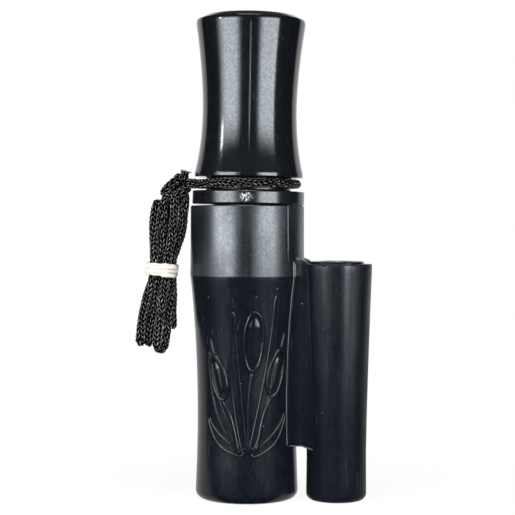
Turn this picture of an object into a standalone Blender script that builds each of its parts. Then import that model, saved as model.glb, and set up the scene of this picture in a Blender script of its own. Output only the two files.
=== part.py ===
"""A two-tube duck call standing on its mouth ends, with its lanyard hung from the insert.

One moulding holds both tubes: the large barrel and the small side tube, joined by a web. The insert
plugs into the top of the barrel and carries the tone board with its two reeds. A smaller insert plugs
into the top of the side tube. A braided cord runs round the groove of the insert, and the rest of it
is folded into a hank that a rubber band holds.

Lengths are in millimetres and become metres where a mesh is made. +Z runs from the mouth ends to the
bell, +X from the barrel to the side tube, and the reeds face -Y.
"""

import math

import bmesh
import bpy
from mathutils import Matrix, Vector

MM = 0.001
GAP = 0.3

# The barrel
BARREL_HEIGHT = 82.7
BARREL_TOP_RADIUS = 16.1
CREASE_HEIGHT = 63.2
CREASE_RADIUS = 16.2
WAIST_RADIUS = 14.02
WAIST_HEIGHT = 22.0
WAIST_POWER = 2.2
FOOT_HEIGHT = 14.6
FOOT_RADIUS = 14.27
MOUTH_RADIUS = 14.56
MOUTH_ROUNDING = 2.4
MAIN_BORE_RADIUS = 9.0
SOCKET_RADIUS = 10.55
SOCKET_FLOOR = 57.7

# The side tube and the web
AXIS_DISTANCE = 25.6
SIDE_HEIGHT = 66.6
SIDE_TOP_RADIUS = 9.9
SIDE_LOW_RADIUS = 8.4
SIDE_LOW_HEIGHT = 12.0
SIDE_TAPER_POWER = 1.4
SIDE_MOUTH_RADIUS = 8.5
SIDE_MOUTH_ROUNDING = 2.0
SIDE_RIM_RADIUS = 8.0
SIDE_RIM_DEPTH = 3.2
SIDE_SOCKET_RADIUS = 7.15
SIDE_SOCKET_FLOOR = 44.0
SIDE_BORE_RADIUS = 5.2
WEB_START = 11.0
WEB_END = 3.0
WEB_ROUNDING = 1.2
WEB_BOTTOM = 15.3
WEB_TOP = 67.6
WEB_HALF_THICKNESS_LOW = 6.0
WEB_HALF_THICKNESS_HIGH = 7.2

# The insert
OVERALL_HEIGHT = 136.9
BELL_RIM_RADIUS = 12.8
BELL_LIP_RADIUS = 15.5
BELL_LIP_HEIGHT = 134.5
BELL_RIM_POINTS = ((13.65, 136.6), (14.35, 136.1), (14.95, 135.5), (15.4, 134.95))
BELL_UPPER_POWER = 1.66
BELL_LOWER_POWER = 2.23
BELL_WAIST_RADIUS = 13.22
BELL_WAIST_HEIGHT = 111.0
BELL_BASE_RADIUS = 15.4
BELL_BASE_HEIGHT = 91.3
GROOVE_RADIUS = 12.0
FLANGE_RADIUS = 15.9
FLANGE_TOP = 87.2
FLANGE_BOTTOM = 83.6
TENON_RADIUS = 10.0
TENON_BOTTOM = 58.0
SEAL_HEIGHTS = {"upper": 76.0, "lower": 64.0}
SEAL_OUTER_RADIUS = 10.25
SEAL_SECTION_RADIUS = 1.0
EXHAUST_RADIUS = 5.0
EXHAUST_HEIGHT = 84.0
EXHAUST_FLARE = ((6.9, 104.0), (8.6, 121.0))
EXHAUST_MOUTH_RADIUS = 10.4

# The tone board and its reeds
BOARD_RADIUS = 6.0
BOARD_TIP = 24.0
BOARD_BASE_BOTTOM = 58.2
BOARD_TOP = 79.4
BOARD_SLOPE = 2.3
REED_WIDTH = 9.4
REED_THICKNESS = 0.3
REED_ROOT = 66.4
REED_PIVOT = 62.4
REED_TIPS = {"lower": 26.6, "upper": 29.6}
SLOT_TOP = 67.0
SLOT_HALF_WIDTH = 5.2
SLOT_DEPTH = 4.3

# The side insert and its reed
SIDE_HEAD_RADIUS = 7.7
SIDE_HEAD_TOP = 67.4
SIDE_TENON_RADIUS = 6.6
SIDE_TENON_BOTTOM = 46.0
SIDE_SEAL_HEIGHT = 57.0
SIDE_SEAL_OUTER_RADIUS = 6.85
SIDE_SEAL_SECTION_RADIUS = 0.8
SIDE_EXHAUST_RADIUS = 3.0
SIDE_BOARD_RADIUS = 4.4
SIDE_BOARD_TIP = 18.0
SIDE_REED_WIDTH = 6.2
SIDE_REED_ROOT = 51.4
SIDE_REED_PIVOT = 48.6
SIDE_REED_TIP = 20.4
SIDE_SLOT_TOP = 52.0
SIDE_SLOT_HALF_WIDTH = 3.5
SIDE_SLOT_DEPTH = 3.0

# The lanyard. Its own X runs outwards from the barrel's axis to the hank, and its Y to the front.
CORD_DIAMETER = 2.8
LOOP_RADIUS = 13.7
LOOP_HEIGHT = 89.25
LANYARD_DIRECTION = 188.0
LOOP_OPENING = 17.0
KNOT_CENTRE = (21.3, 88.3)
KNOT_HALF_SIZES = (4.2, 4.3, 4.5)
HANK_HALF_DEPTH = 4.2
HANK_NEAR_SIDE = [
    (17.2, 83.4), (16.6, 79.0), (17.0, 74.0), (20.0, 67.6), (20.9, 61.9),
    (20.9, 58.0), (20.3, 49.6), (21.4, 47.6), (23.0, 47.8), (23.4, 41.6), (25.2, 40.3),
]
HANK_FAR_SIDE = [
    (27.4, 41.3), (28.6, 42.9), (31.0, 43.2), (31.4, 45.0), (30.7, 52.0),
    (28.2, 61.9), (27.4, 67.6), (27.8, 73.0), (27.4, 79.0), (25.6, 83.4),
]
HANK_SLANT = 9.0
BAND_CENTRE = (24.15, 64.8)
BAND_HEIGHT = 4.2
BAND_HALF_WIDTH = 4.75
BAND_HALF_DEPTH = 5.1
BAND_THICKNESS = 0.5
BAND_CORNER = 0.6

# The barrel's axis is set so that the box round the rigid pieces is centred on the origin.
BARREL_X = -(AXIS_DISTANCE + SIDE_TOP_RADIUS - CREASE_RADIUS) / 2
SIDE_X = BARREL_X + AXIS_DISTANCE


def clear_scene():
    for old in list(bpy.data.objects):
        bpy.data.objects.remove(old, do_unlink=True)


def new_collection(name):
    made = bpy.data.collections.new(name)
    bpy.context.scene.collection.children.link(made)
    return made


def material(name, colour, roughness, metallic=0.0):
    made = bpy.data.materials.new(name)
    made.use_nodes = True
    shader = made.node_tree.nodes["Principled BSDF"]
    shader.inputs["Base Color"].default_value = (*colour, 1.0)
    shader.inputs["Roughness"].default_value = roughness
    shader.inputs["Metallic"].default_value = metallic
    return made


def place(name, data, x=0.0, y=0.0, z=0.0, parent=None, paint=None, helper=False):
    """An object holding the data, at a place in millimetres, as a part or as a cutter."""
    made = bpy.data.objects.new(name, data)
    (cutters if helper else parts).objects.link(made)
    made.location = (x * MM, y * MM, z * MM)
    made.parent = parent
    if paint:
        data.materials.append(paint)
    if helper:
        made.hide_render = True
        made.display_type = "WIRE"
    return made


def axis_empty(name, x=0.0, y=0.0, z=0.0, turn=0.0):
    made = place(name, None, x, y, z)
    made.rotation_euler.z = math.radians(turn)
    return made


def arc(centre, radius, start, end, steps):
    """Points (r, z) on an arc, with its angles in degrees from the +r direction."""
    points = []
    for i in range(steps + 1):
        angle = math.radians(start + (end - start) * i / steps)
        points.append((centre[0] + radius * math.cos(angle), centre[1] + radius * math.sin(angle)))
    return points


def profile_mesh(name, profile, closed):
    """A mesh with one edge loop of (r, z) points in the XZ plane, for a Screw to turn."""
    mesh = bpy.data.meshes.new(name)
    points = [(r * MM, 0.0, z * MM) for r, z in profile]
    edges = [(i, i + 1) for i in range(len(points) - 1)]
    if closed:
        edges.append((len(points) - 1, 0))
    mesh.from_pydata(points, edges, [])
    return mesh


def turned(name, profile, steps, closed=False, **placing):
    """A profile turned about the object's own Z axis. A closed profile makes a ring."""
    made = place(name, profile_mesh(name, profile, closed), **placing)
    screw = made.modifiers.new("Turn", "SCREW")
    screw.steps = steps
    screw.render_steps = steps
    screw.use_merge_vertices = True
    screw.merge_threshold = 1e-6
    screw.use_smooth_shade = True
    return made


def block(name, low, high, **placing):
    """A box between two corners in millimetres, which are in the object's own axes."""
    mesh = bpy.data.meshes.new(name)
    made = bmesh.new()
    bmesh.ops.create_cube(made, size=1.0)
    size = Vector(high) - Vector(low)
    middle = (Vector(high) + Vector(low)) / 2
    for vertex in made.verts:
        vertex.co = Vector(a * b + c for a, b, c in zip(vertex.co, size, middle)) * MM
    made.to_mesh(mesh)
    made.free()
    return place(name, mesh, **placing)


def combine(target, tool, operation):
    step = target.modifiers.new(tool.name, "BOOLEAN")
    step.operation = operation
    step.solver = "EXACT"
    step.object = tool


def outline(name, loops, thickness, **placing):
    """A flat shape in the object's XY plane, of the given thickness. A second loop is a hole."""
    curve = bpy.data.curves.new(name, "CURVE")
    curve.dimensions = "2D"
    curve.fill_mode = "BOTH"
    curve.extrude = thickness / 2 * MM
    for loop in loops:
        spline = curve.splines.new("POLY")
        spline.points.add(len(loop) - 1)
        for point, (x, y) in zip(spline.points, loop):
            point.co = (x * MM, y * MM, 0.0, 1.0)
        spline.use_cyclic_u = True
    return place(name, curve, **placing)


def cord_tube(name, points, diameter, **placing):
    curve = bpy.data.curves.new(name, "CURVE")
    curve.dimensions = "3D"
    curve.bevel_depth = diameter / 2 * MM
    curve.bevel_resolution = 2
    curve.use_fill_caps = True
    spline = curve.splines.new("POLY")
    spline.points.add(len(points) - 1)
    for point, place_mm in zip(spline.points, points):
        point.co = (*(Vector(place_mm) * MM), 1.0)
    return place(name, curve, **placing)


def waist(low, high, end_radius, waist_radius, waist_height, power, steps):
    """Points from a height down or up to the waist, on a curve that leaves the waist level."""
    points = []
    for i in range(steps + 1):
        z = high + (low - high) * i / steps
        far = high if abs(high - waist_height) > abs(low - waist_height) else low
        share = abs(z - waist_height) / abs(far - waist_height)
        points.append((waist_radius + (end_radius - waist_radius) * share**power, z))
    return points


def barrel_profile():
    """The outside of the barrel as a solid, from the axis at the top to the axis at the bottom."""
    edge = 0.5
    rounding_centre = (MOUTH_RADIUS - MOUTH_ROUNDING, MOUTH_ROUNDING)
    profile = [(0.0, BARREL_HEIGHT)]
    profile += arc((BARREL_TOP_RADIUS - edge, BARREL_HEIGHT - edge), edge, 90, 0, 3)
    profile += waist(
        WAIST_HEIGHT, CREASE_HEIGHT, CREASE_RADIUS, WAIST_RADIUS, WAIST_HEIGHT, WAIST_POWER, 8
    )
    profile += [(WAIST_RADIUS, FOOT_HEIGHT), (FOOT_RADIUS, FOOT_HEIGHT - 1.8)]
    profile += arc(rounding_centre, MOUTH_ROUNDING, 0, -90, 5)
    profile.append((0.0, 0.0))
    return profile


def side_tube_profile():
    """The outside of the side tube as a solid, from the axis at the top to the axis at the bottom."""
    edge = 0.4
    rounding_centre = (SIDE_MOUTH_RADIUS - SIDE_MOUTH_ROUNDING, SIDE_MOUTH_ROUNDING)
    profile = [(0.0, SIDE_HEIGHT)]
    profile += arc((SIDE_TOP_RADIUS - edge, SIDE_HEIGHT - edge), edge, 90, 0, 3)
    profile += waist(
        SIDE_LOW_HEIGHT, SIDE_HEIGHT - 1.5, SIDE_TOP_RADIUS, SIDE_LOW_RADIUS,
        SIDE_LOW_HEIGHT, SIDE_TAPER_POWER, 6,
    )
    profile += arc(rounding_centre, SIDE_MOUTH_ROUNDING, 0, -90, 5)
    profile.append((0.0, 0.0))
    return profile


def bore_profile(steps_down, lead_in):
    """A cutter from above the part to below it, through (radius, lower height) steps."""
    profile = [(0.0, OVERALL_HEIGHT)]
    above = OVERALL_HEIGHT
    for radius, height in steps_down:
        profile += [(radius, above), (radius, height)]
        above = height
    mouth = steps_down[-1][0] + lead_in
    profile += [(mouth, -0.1), (mouth, -5.0), (0.0, -5.0)]
    return profile


def make_web():
    """The web's slab, wider at the top of the barrel, with its top edges rounded."""
    low_end, high_end = BARREL_X + WEB_START, SIDE_X - WEB_END
    web = block(
        "web_slab", (low_end, -1.0, WEB_BOTTOM), (high_end, 1.0, WEB_TOP), paint=black, helper=True
    )
    for vertex in web.data.vertices:
        at_barrel = vertex.co.x < (BARREL_X + AXIS_DISTANCE / 2) * MM
        at_top = vertex.co.z > CREASE_HEIGHT / 2 * MM
        half = WEB_HALF_THICKNESS_HIGH if at_barrel and at_top else WEB_HALF_THICKNESS_LOW
        vertex.co.y = math.copysign(half * MM, vertex.co.y)
    rounding = web.modifiers.new("Rounding", "BEVEL")
    rounding.width = WEB_ROUNDING * MM
    rounding.segments = 3
    rounding.limit_method = "ANGLE"
    return web


def make_barrel():
    """The moulding: barrel, side tube and web in one piece, bored from both ends."""
    barrel = turned("barrel", barrel_profile(), 56, x=BARREL_X, paint=black)
    side = turned("side_tube_outside", side_tube_profile(), 40, x=SIDE_X, helper=True)
    main_steps = [(SOCKET_RADIUS, SOCKET_FLOOR), (MAIN_BORE_RADIUS, 0.9)]
    side_steps = [
        (SIDE_RIM_RADIUS, SIDE_HEIGHT - SIDE_RIM_DEPTH),
        (SIDE_SOCKET_RADIUS, SIDE_SOCKET_FLOOR),
        (SIDE_BORE_RADIUS, 0.7),
    ]
    main_bore = turned("main_bore", bore_profile(main_steps, 0.8), 40, x=BARREL_X, helper=True)
    side_bore = turned("side_bore", bore_profile(side_steps, 0.6), 36, x=SIDE_X, helper=True)
    combine(barrel, make_web(), "UNION")
    combine(barrel, side, "UNION")
    combine(barrel, main_bore, "DIFFERENCE")
    combine(barrel, side_bore, "DIFFERENCE")
    return barrel


def seal_groove(height, floor_radius, section_radius, outer_radius):
    """The steps of a groove that leaves a gap round an O-ring, from its upper edge down."""
    half = section_radius + GAP
    return [
        (outer_radius, height + half),
        (floor_radius, height + half),
        (floor_radius, height - half),
        (outer_radius, height - half),
    ]


def insert_profile():
    """The insert as a ring: down its outside from the bell's rim, then up its bore."""
    base_edge, flange_edge = 1.0, 0.4
    profile = [(EXHAUST_MOUTH_RADIUS + 0.6, OVERALL_HEIGHT), (BELL_RIM_RADIUS, OVERALL_HEIGHT)]
    profile += BELL_RIM_POINTS
    profile += waist(
        BELL_WAIST_HEIGHT, BELL_LIP_HEIGHT, BELL_LIP_RADIUS,
        BELL_WAIST_RADIUS, BELL_WAIST_HEIGHT, BELL_UPPER_POWER, 6,
    )
    base_top = BELL_BASE_HEIGHT + base_edge
    below = waist(
        base_top, BELL_WAIST_HEIGHT, BELL_BASE_RADIUS,
        BELL_WAIST_RADIUS, BELL_WAIST_HEIGHT, BELL_LOWER_POWER, 6,
    )
    profile += below[1:]
    profile += arc((BELL_BASE_RADIUS - base_edge, base_top), base_edge, -30, -90, 2)
    profile += [(GROOVE_RADIUS, BELL_BASE_HEIGHT), (GROOVE_RADIUS, FLANGE_TOP)]
    profile += arc((FLANGE_RADIUS - flange_edge, FLANGE_TOP - flange_edge), flange_edge, 90, 0, 2)
    profile += arc((FLANGE_RADIUS - flange_edge, FLANGE_BOTTOM + flange_edge), flange_edge, 0, -90, 2)
    profile.append((TENON_RADIUS, FLANGE_BOTTOM))
    floor = SEAL_OUTER_RADIUS - 2 * SEAL_SECTION_RADIUS - GAP
    for height in SEAL_HEIGHTS.values():
        profile += seal_groove(height, floor, SEAL_SECTION_RADIUS, TENON_RADIUS)
    profile += [(TENON_RADIUS, TENON_BOTTOM + 1.0), (TENON_RADIUS - 0.6, TENON_BOTTOM)]
    socket = BOARD_RADIUS + GAP
    profile += [(socket, TENON_BOTTOM), (socket, BOARD_TOP + GAP), (EXHAUST_RADIUS, BOARD_TOP + GAP)]
    profile += [(EXHAUST_RADIUS, EXHAUST_HEIGHT), *EXHAUST_FLARE]
    profile.append((EXHAUST_MOUTH_RADIUS, OVERALL_HEIGHT - 0.6))
    return profile


def o_ring(name, outer_radius, section_radius, x, height):
    centre = (outer_radius - section_radius, 0.0)
    section = arc(centre, section_radius, 90, -270, 8)[:-1]
    return turned(name, section, 32, closed=True, x=x, z=height, paint=rubber)


def channelled_board(board, radius, tip, base_bottom, top, slot_top, slot_half_width, slot_depth):
    """Cuts the sloped face, the wedge slot and the air channel into a round blank."""
    name = board.name
    slope = block(
        name + "_face", (-radius - 2, -radius - 2, tip - base_bottom - 5), (radius + 2, 0, 0),
        x=board.location.x / MM, z=base_bottom, helper=True,
    )
    slope.rotation_euler.x = math.radians(BOARD_SLOPE)
    slot = block(
        name + "_slot", (-slot_half_width, -slot_depth, base_bottom - 2.0),
        (slot_half_width, 0.0, slot_top), x=board.location.x / MM, helper=True,
    )
    channel_half, channel_depth = 0.36 * radius, 0.58 * radius
    channel = block(
        name + "_channel", (-channel_half, -1.0, tip + 1.6),
        (channel_half, channel_depth, slot_top - 3.0), x=board.location.x / MM, helper=True,
    )
    air_radius, air_depth = 0.38 * radius, 0.26 * radius
    bottom, length = base_bottom + 1.5, top + 2.0 - base_bottom
    air = turned(
        name + "_air", [(0.0, length), (air_radius, length), (air_radius, 0.0), (0.0, 0.0)], 24,
        x=board.location.x / MM, y=air_depth, z=bottom, helper=True,
    )
    for cutter in (slope, slot, channel, air):
        combine(board, cutter, "DIFFERENCE")


def make_tone_board():
    blank = [
        (0.0, BOARD_TOP), (BOARD_RADIUS - 0.4, BOARD_TOP), (BOARD_RADIUS, BOARD_TOP - 0.4),
        (BOARD_RADIUS, BOARD_TIP + 1.0), (BOARD_RADIUS - 1.0, BOARD_TIP), (0.0, BOARD_TIP),
    ]
    board = turned("tone_board", blank, 40, x=BARREL_X, paint=board_plastic)
    channelled_board(
        board, BOARD_RADIUS, BOARD_TIP, BOARD_BASE_BOTTOM, BOARD_TOP,
        SLOT_TOP, SLOT_HALF_WIDTH, SLOT_DEPTH,
    )


def reed(name, x, depth, width, root, pivot, tip):
    """A flat reed with a rounded tip. Its origin is on the line that it bends about."""
    corner = 2.0
    half = width / 2
    loop = [(-half, root - pivot), (-half, tip + corner - pivot)]
    loop += [(-half + 0.6, tip + 0.6 - pivot), (-half + corner, tip - pivot)]
    loop += [(-px, py) for px, py in reversed(loop)]
    made = outline(
        name, [loop], REED_THICKNESS, x=x, y=-(depth + REED_THICKNESS / 2), z=pivot, paint=mylar
    )
    made.rotation_euler.x = math.radians(90)
    return made


def wedge(name, x, near, far, half_width, bottom, top):
    """A cork wedge that holds the reeds down, thinner at its inner end."""
    taper = 0.5
    loop = [(-near, bottom), (-far, bottom), (-far + taper, top), (-near, top)]
    made = outline(name, [loop], 2 * half_width, x=x, paint=cork)
    made.matrix_local = Matrix.Translation((x * MM, 0.0, 0.0)) @ Matrix(
        ((0, 0, 1, 0), (1, 0, 0, 0), (0, 1, 0, 0), (0, 0, 0, 1))
    )
    return made


def make_reeds():
    layer = REED_THICKNESS + GAP
    reed("lower_reed", BARREL_X, GAP, REED_WIDTH, REED_ROOT, REED_PIVOT, REED_TIPS["lower"])
    reed("upper_reed", BARREL_X, GAP + layer, REED_WIDTH, REED_ROOT, REED_PIVOT, REED_TIPS["upper"])
    wedge(
        "reed_wedge", BARREL_X, GAP + 2 * layer, SLOT_DEPTH - GAP,
        SLOT_HALF_WIDTH - GAP, BOARD_BASE_BOTTOM + 0.4, REED_ROOT,
    )


def side_insert_profile():
    """The side insert as a solid blank, from its axis at the top to its axis at the tip."""
    shoulder = SIDE_HEIGHT - SIDE_RIM_DEPTH + GAP
    profile = [(0.0, SIDE_HEAD_TOP), (SIDE_HEAD_RADIUS - 0.4, SIDE_HEAD_TOP)]
    profile += [(SIDE_HEAD_RADIUS, SIDE_HEAD_TOP - 0.4), (SIDE_HEAD_RADIUS, shoulder)]
    profile.append((SIDE_TENON_RADIUS, shoulder))
    floor = SIDE_SEAL_OUTER_RADIUS - 2 * SIDE_SEAL_SECTION_RADIUS - GAP
    profile += seal_groove(SIDE_SEAL_HEIGHT, floor, SIDE_SEAL_SECTION_RADIUS, SIDE_TENON_RADIUS)
    profile += [(SIDE_TENON_RADIUS, SIDE_TENON_BOTTOM), (SIDE_BOARD_RADIUS, SIDE_TENON_BOTTOM)]
    profile += [(SIDE_BOARD_RADIUS, SIDE_BOARD_TIP + 0.8), (SIDE_BOARD_RADIUS - 0.8, SIDE_BOARD_TIP)]
    profile.append((0.0, SIDE_BOARD_TIP))
    return profile


def make_side_insert():
    insert = turned("side_insert", side_insert_profile(), 40, x=SIDE_X, paint=black)
    channelled_board(
        insert, SIDE_BOARD_RADIUS, SIDE_BOARD_TIP, SIDE_TENON_BOTTOM + 0.2, SIDE_SLOT_TOP + 2.0,
        SIDE_SLOT_TOP, SIDE_SLOT_HALF_WIDTH, SIDE_SLOT_DEPTH,
    )
    exhaust = [
        (0.0, SIDE_HEAD_TOP + 2.0), (SIDE_EXHAUST_RADIUS + 1.6, SIDE_HEAD_TOP + 2.0),
        (SIDE_EXHAUST_RADIUS + 1.6, SIDE_HEAD_TOP - 2.5), (SIDE_EXHAUST_RADIUS, SIDE_HEAD_TOP - 7.0),
        (SIDE_EXHAUST_RADIUS, SIDE_SLOT_TOP + 1.4), (0.0, SIDE_SLOT_TOP + 1.4),
    ]
    bore = turned("side_exhaust_bore", exhaust, 28, x=SIDE_X, helper=True)
    combine(insert, bore, "DIFFERENCE")
    o_ring("side_o_ring", SIDE_SEAL_OUTER_RADIUS, SIDE_SEAL_SECTION_RADIUS, SIDE_X, SIDE_SEAL_HEIGHT)
    reed("side_reed", SIDE_X, GAP, SIDE_REED_WIDTH, SIDE_REED_ROOT, SIDE_REED_PIVOT, SIDE_REED_TIP)
    wedge(
        "side_reed_wedge", SIDE_X, 2 * GAP + REED_THICKNESS, SIDE_SLOT_DEPTH - GAP,
        SIDE_SLOT_HALF_WIDTH - GAP, SIDE_TENON_BOTTOM + 0.4, SIDE_REED_ROOT,
    )


def loop_points():
    """The cord's way round the groove, with both of its ends led out to the knot."""
    turn, steps = 360 - 2 * LOOP_OPENING, 44
    ring = []
    for i in range(steps + 1):
        angle = math.radians(LOOP_OPENING + turn * i / steps)
        ring.append((LOOP_RADIUS * math.cos(angle), LOOP_RADIUS * math.sin(angle), LOOP_HEIGHT))
    lead_out = [(15.85, 1.75, LOOP_HEIGHT + 0.1), (14.7, 2.75, LOOP_HEIGHT)]
    lead_in = [(x, -y, z) for x, y, z in reversed(lead_out)]
    return lead_out + ring + lead_in


def rounded_rectangle(half_width, half_depth, radius, steps=4):
    """A rectangle's outline about the origin, with rounded corners."""
    corners = [(1, 1, 0), (-1, 1, 90), (-1, -1, 180), (1, -1, 270)]
    loop = []
    for side_x, side_y, start in corners:
        centre = (side_x * (half_width - radius), side_y * (half_depth - radius))
        loop += arc(centre, radius, start, start + 90, steps)
    return loop


def make_lanyard(axis):
    """The cord's loop in the groove, its knot, its folded hank, and the band round the hank."""
    cord_tube("lanyard_loop", loop_points(), CORD_DIAMETER, parent=axis, paint=braid)
    mesh = bpy.data.meshes.new("lanyard_knot")
    made = bmesh.new()
    bmesh.ops.create_uvsphere(made, u_segments=20, v_segments=12, radius=1.0)
    bmesh.ops.scale(made, vec=[size * MM for size in KNOT_HALF_SIZES], verts=made.verts)
    made.to_mesh(mesh)
    made.free()
    place("lanyard_knot", mesh, x=KNOT_CENTRE[0], z=KNOT_CENTRE[1], parent=axis, paint=braid)
    hank = outline(
        "lanyard_hank", [HANK_NEAR_SIDE + HANK_FAR_SIDE], 2 * HANK_HALF_DEPTH, parent=axis, paint=braid
    )
    hank.rotation_euler.x = math.radians(90)
    outer = rounded_rectangle(BAND_HALF_WIDTH, BAND_HALF_DEPTH, BAND_CORNER + BAND_THICKNESS)
    inner = rounded_rectangle(
        BAND_HALF_WIDTH - BAND_THICKNESS, BAND_HALF_DEPTH - BAND_THICKNESS, BAND_CORNER
    )
    band = outline(
        "lanyard_band", [outer, inner], BAND_HEIGHT,
        x=BAND_CENTRE[0], z=BAND_CENTRE[1], parent=axis, paint=band_rubber,
    )
    band.rotation_euler.y = math.radians(-HANK_SLANT)


clear_scene()
parts = new_collection("duck_call")
cutters = new_collection("cutters")
black = material("black_plastic", (0.012, 0.013, 0.015), 0.3)
board_plastic = material("tone_board_plastic", (0.03, 0.03, 0.032), 0.4)
mylar = material("clear_reed_film", (0.75, 0.76, 0.7), 0.2)
cork = material("cork", (0.45, 0.28, 0.15), 0.9)
rubber = material("black_rubber", (0.02, 0.02, 0.02), 0.7)
braid = material("black_braid", (0.05, 0.05, 0.045), 0.8)
band_rubber = material("cream_rubber", (0.85, 0.8, 0.72), 0.6)

make_barrel()
turned("insert", insert_profile(), 44, closed=True, x=BARREL_X, paint=black)
for level, seal_height in SEAL_HEIGHTS.items():
    o_ring("tenon_o_ring_" + level, SEAL_OUTER_RADIUS, SEAL_SECTION_RADIUS, BARREL_X, seal_height)
make_tone_board()
make_reeds()
make_side_insert()
make_lanyard(axis_empty("lanyard_axis", x=BARREL_X, turn=LANYARD_DIRECTION))
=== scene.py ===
import random
from math import cos, exp, pi, radians, remainder, sin, sqrt, tan

import bmesh
import bpy
import numpy as np
from mathutils import Matrix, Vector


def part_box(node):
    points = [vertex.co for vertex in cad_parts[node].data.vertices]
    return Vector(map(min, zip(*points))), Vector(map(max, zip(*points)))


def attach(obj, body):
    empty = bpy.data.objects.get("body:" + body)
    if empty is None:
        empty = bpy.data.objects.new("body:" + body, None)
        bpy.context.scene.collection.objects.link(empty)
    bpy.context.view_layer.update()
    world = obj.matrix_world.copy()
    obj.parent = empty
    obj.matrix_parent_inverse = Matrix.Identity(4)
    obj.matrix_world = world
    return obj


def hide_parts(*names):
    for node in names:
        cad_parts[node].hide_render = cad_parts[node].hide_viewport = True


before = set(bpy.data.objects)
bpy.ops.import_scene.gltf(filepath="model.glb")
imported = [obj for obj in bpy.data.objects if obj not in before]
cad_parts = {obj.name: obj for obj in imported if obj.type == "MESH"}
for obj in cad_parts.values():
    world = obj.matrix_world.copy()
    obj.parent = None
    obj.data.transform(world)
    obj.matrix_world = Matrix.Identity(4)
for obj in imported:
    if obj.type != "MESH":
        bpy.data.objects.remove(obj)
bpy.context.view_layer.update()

# The looks of a two-tube duck call. Lengths are in millimetres and become metres where a mesh is made.
# Angles round the call are in degrees from the side that faces the camera, positive to its right.
MM = 0.001

# Where the frame's parts stand
INSERT_LOW, INSERT_HIGH = (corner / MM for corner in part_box("insert"))
SIDE_LOW, SIDE_HIGH = (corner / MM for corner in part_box("side_insert"))
BARREL_X = (INSERT_LOW.x + INSERT_HIGH.x) / 2
SIDE_X = (SIDE_LOW.x + SIDE_HIGH.x) / 2
OVERALL_HEIGHT = INSERT_HIGH.z
BARREL_RISE = 0.28
BARREL_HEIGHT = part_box("barrel")[1].z / MM + BARREL_RISE

# Black plastic: the tints of its skin, its colour where it is scratched, the pale colour painted along
# the web's edges as a highlight, its colour where it is dusty, and its dust
SKIN_TINTS = ((0.62, 0.68, 0.73), (0.96, 1.0, 1.0))
SCRATCH_COLOUR = (0.05, 0.053, 0.06)
EDGE_HIGHLIGHT_COLOUR = (0.085, 0.09, 0.095)
DUST_COLOUR = (0.45, 0.45, 0.44)
DUST_CELL = 3.2
DUST_SIZE = 0.045

# The camera and the light
CAMERA_AZIMUTH = 8.0
CAMERA_DISTANCE = 427.0
CAMERA_HEIGHT = 75.8
CAMERA_SIDESTEP = 2.9
CAMERA_PITCH = -1.01
CAMERA_ROLL = 0.16
CAMERA_LENS = 104.85
SENSOR_WIDTH = 36.0
PANEL_DISTANCE = 500.0
PANEL_HEIGHTS = (22.0, 272.0)
PANEL_STRENGTH = 15.0
PANEL_COLOUR = (0.94, 0.965, 1.0)
# Each panel: its name, its inner and outer angle, and the shares of it that fade at each of them
PANELS = (("left", -18.0, -80.0, 0.28, 0.42), ("right", 14.5, 62.0, 0.32, 0.07))
LAMP_ANGLES = (-69.5, -64.5)
LAMP_HEIGHTS = (185.0, 245.0)
LAMP_STRENGTH = 42.0
TABLE_STRENGTH = 0.8
BACKDROP_HALF_ANGLE = 53.0
# How the backdrop dims and the ceiling brightens: from and to which rise, and from and to what
BACKDROP_FADE = (0.40, 0.58, 1.0, 0.10)
CEILING_FADE = (0.24, 0.44, 0.012, 0.12)

# The barrel and its crease
BARREL_TOP_RADIUS = 16.1
CREASE_HEIGHT = 63.2
CREASE_RADIUS = 16.2
WAIST_RADIUS = 14.02
WAIST_HEIGHT = 22.0
WAIST_POWER = 2.2
MOUTH_RADIUS = 14.56
MOUTH_ROUNDING = 2.4
MOUTH_POWER = 1.6
MAIN_BORE_RADIUS = 9.0
SOCKET_RADIUS = 10.55
SOCKET_FLOOR = 57.7

# The side tube and the web between the tubes
SIDE_HEIGHT = 66.6
SIDE_TOP_RADIUS = 9.9
SIDE_LOW_RADIUS = 8.4
SIDE_LOW_HEIGHT = 12.0
SIDE_TAPER_POWER = 1.4
SIDE_MOUTH_RADIUS = 8.5
SIDE_MOUTH_ROUNDING = 2.0
SIDE_RIM_RADIUS = 8.0
SIDE_RIM_DEPTH = 3.2
SIDE_SOCKET_RADIUS = 7.15
SIDE_SOCKET_FLOOR = 44.0
SIDE_BORE_RADIUS = 5.2
BARREL_ROUGHNESS = (0.21, 0.345)
SIDE_ROUGHNESS = 0.36
BARREL_SPECULAR = (0.24, 0.56)
SIDE_SPECULAR = (0.06, 0.24)
BARREL_COLOUR = (0.0034, 0.0048, 0.0070)
WEB_BOTTOM = 15.3
WEB_TOP = 67.4
WEB_ROUNDING = 1.2
WEB_HALF_THICKNESS_LOW = 6.0
WEB_HALF_THICKNESS_HIGH = 7.2
EDGE_LINE_RADIUS = 0.16
RELIEF_RADIUS = 15.0
STROKE_STEP = 0.35

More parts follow.
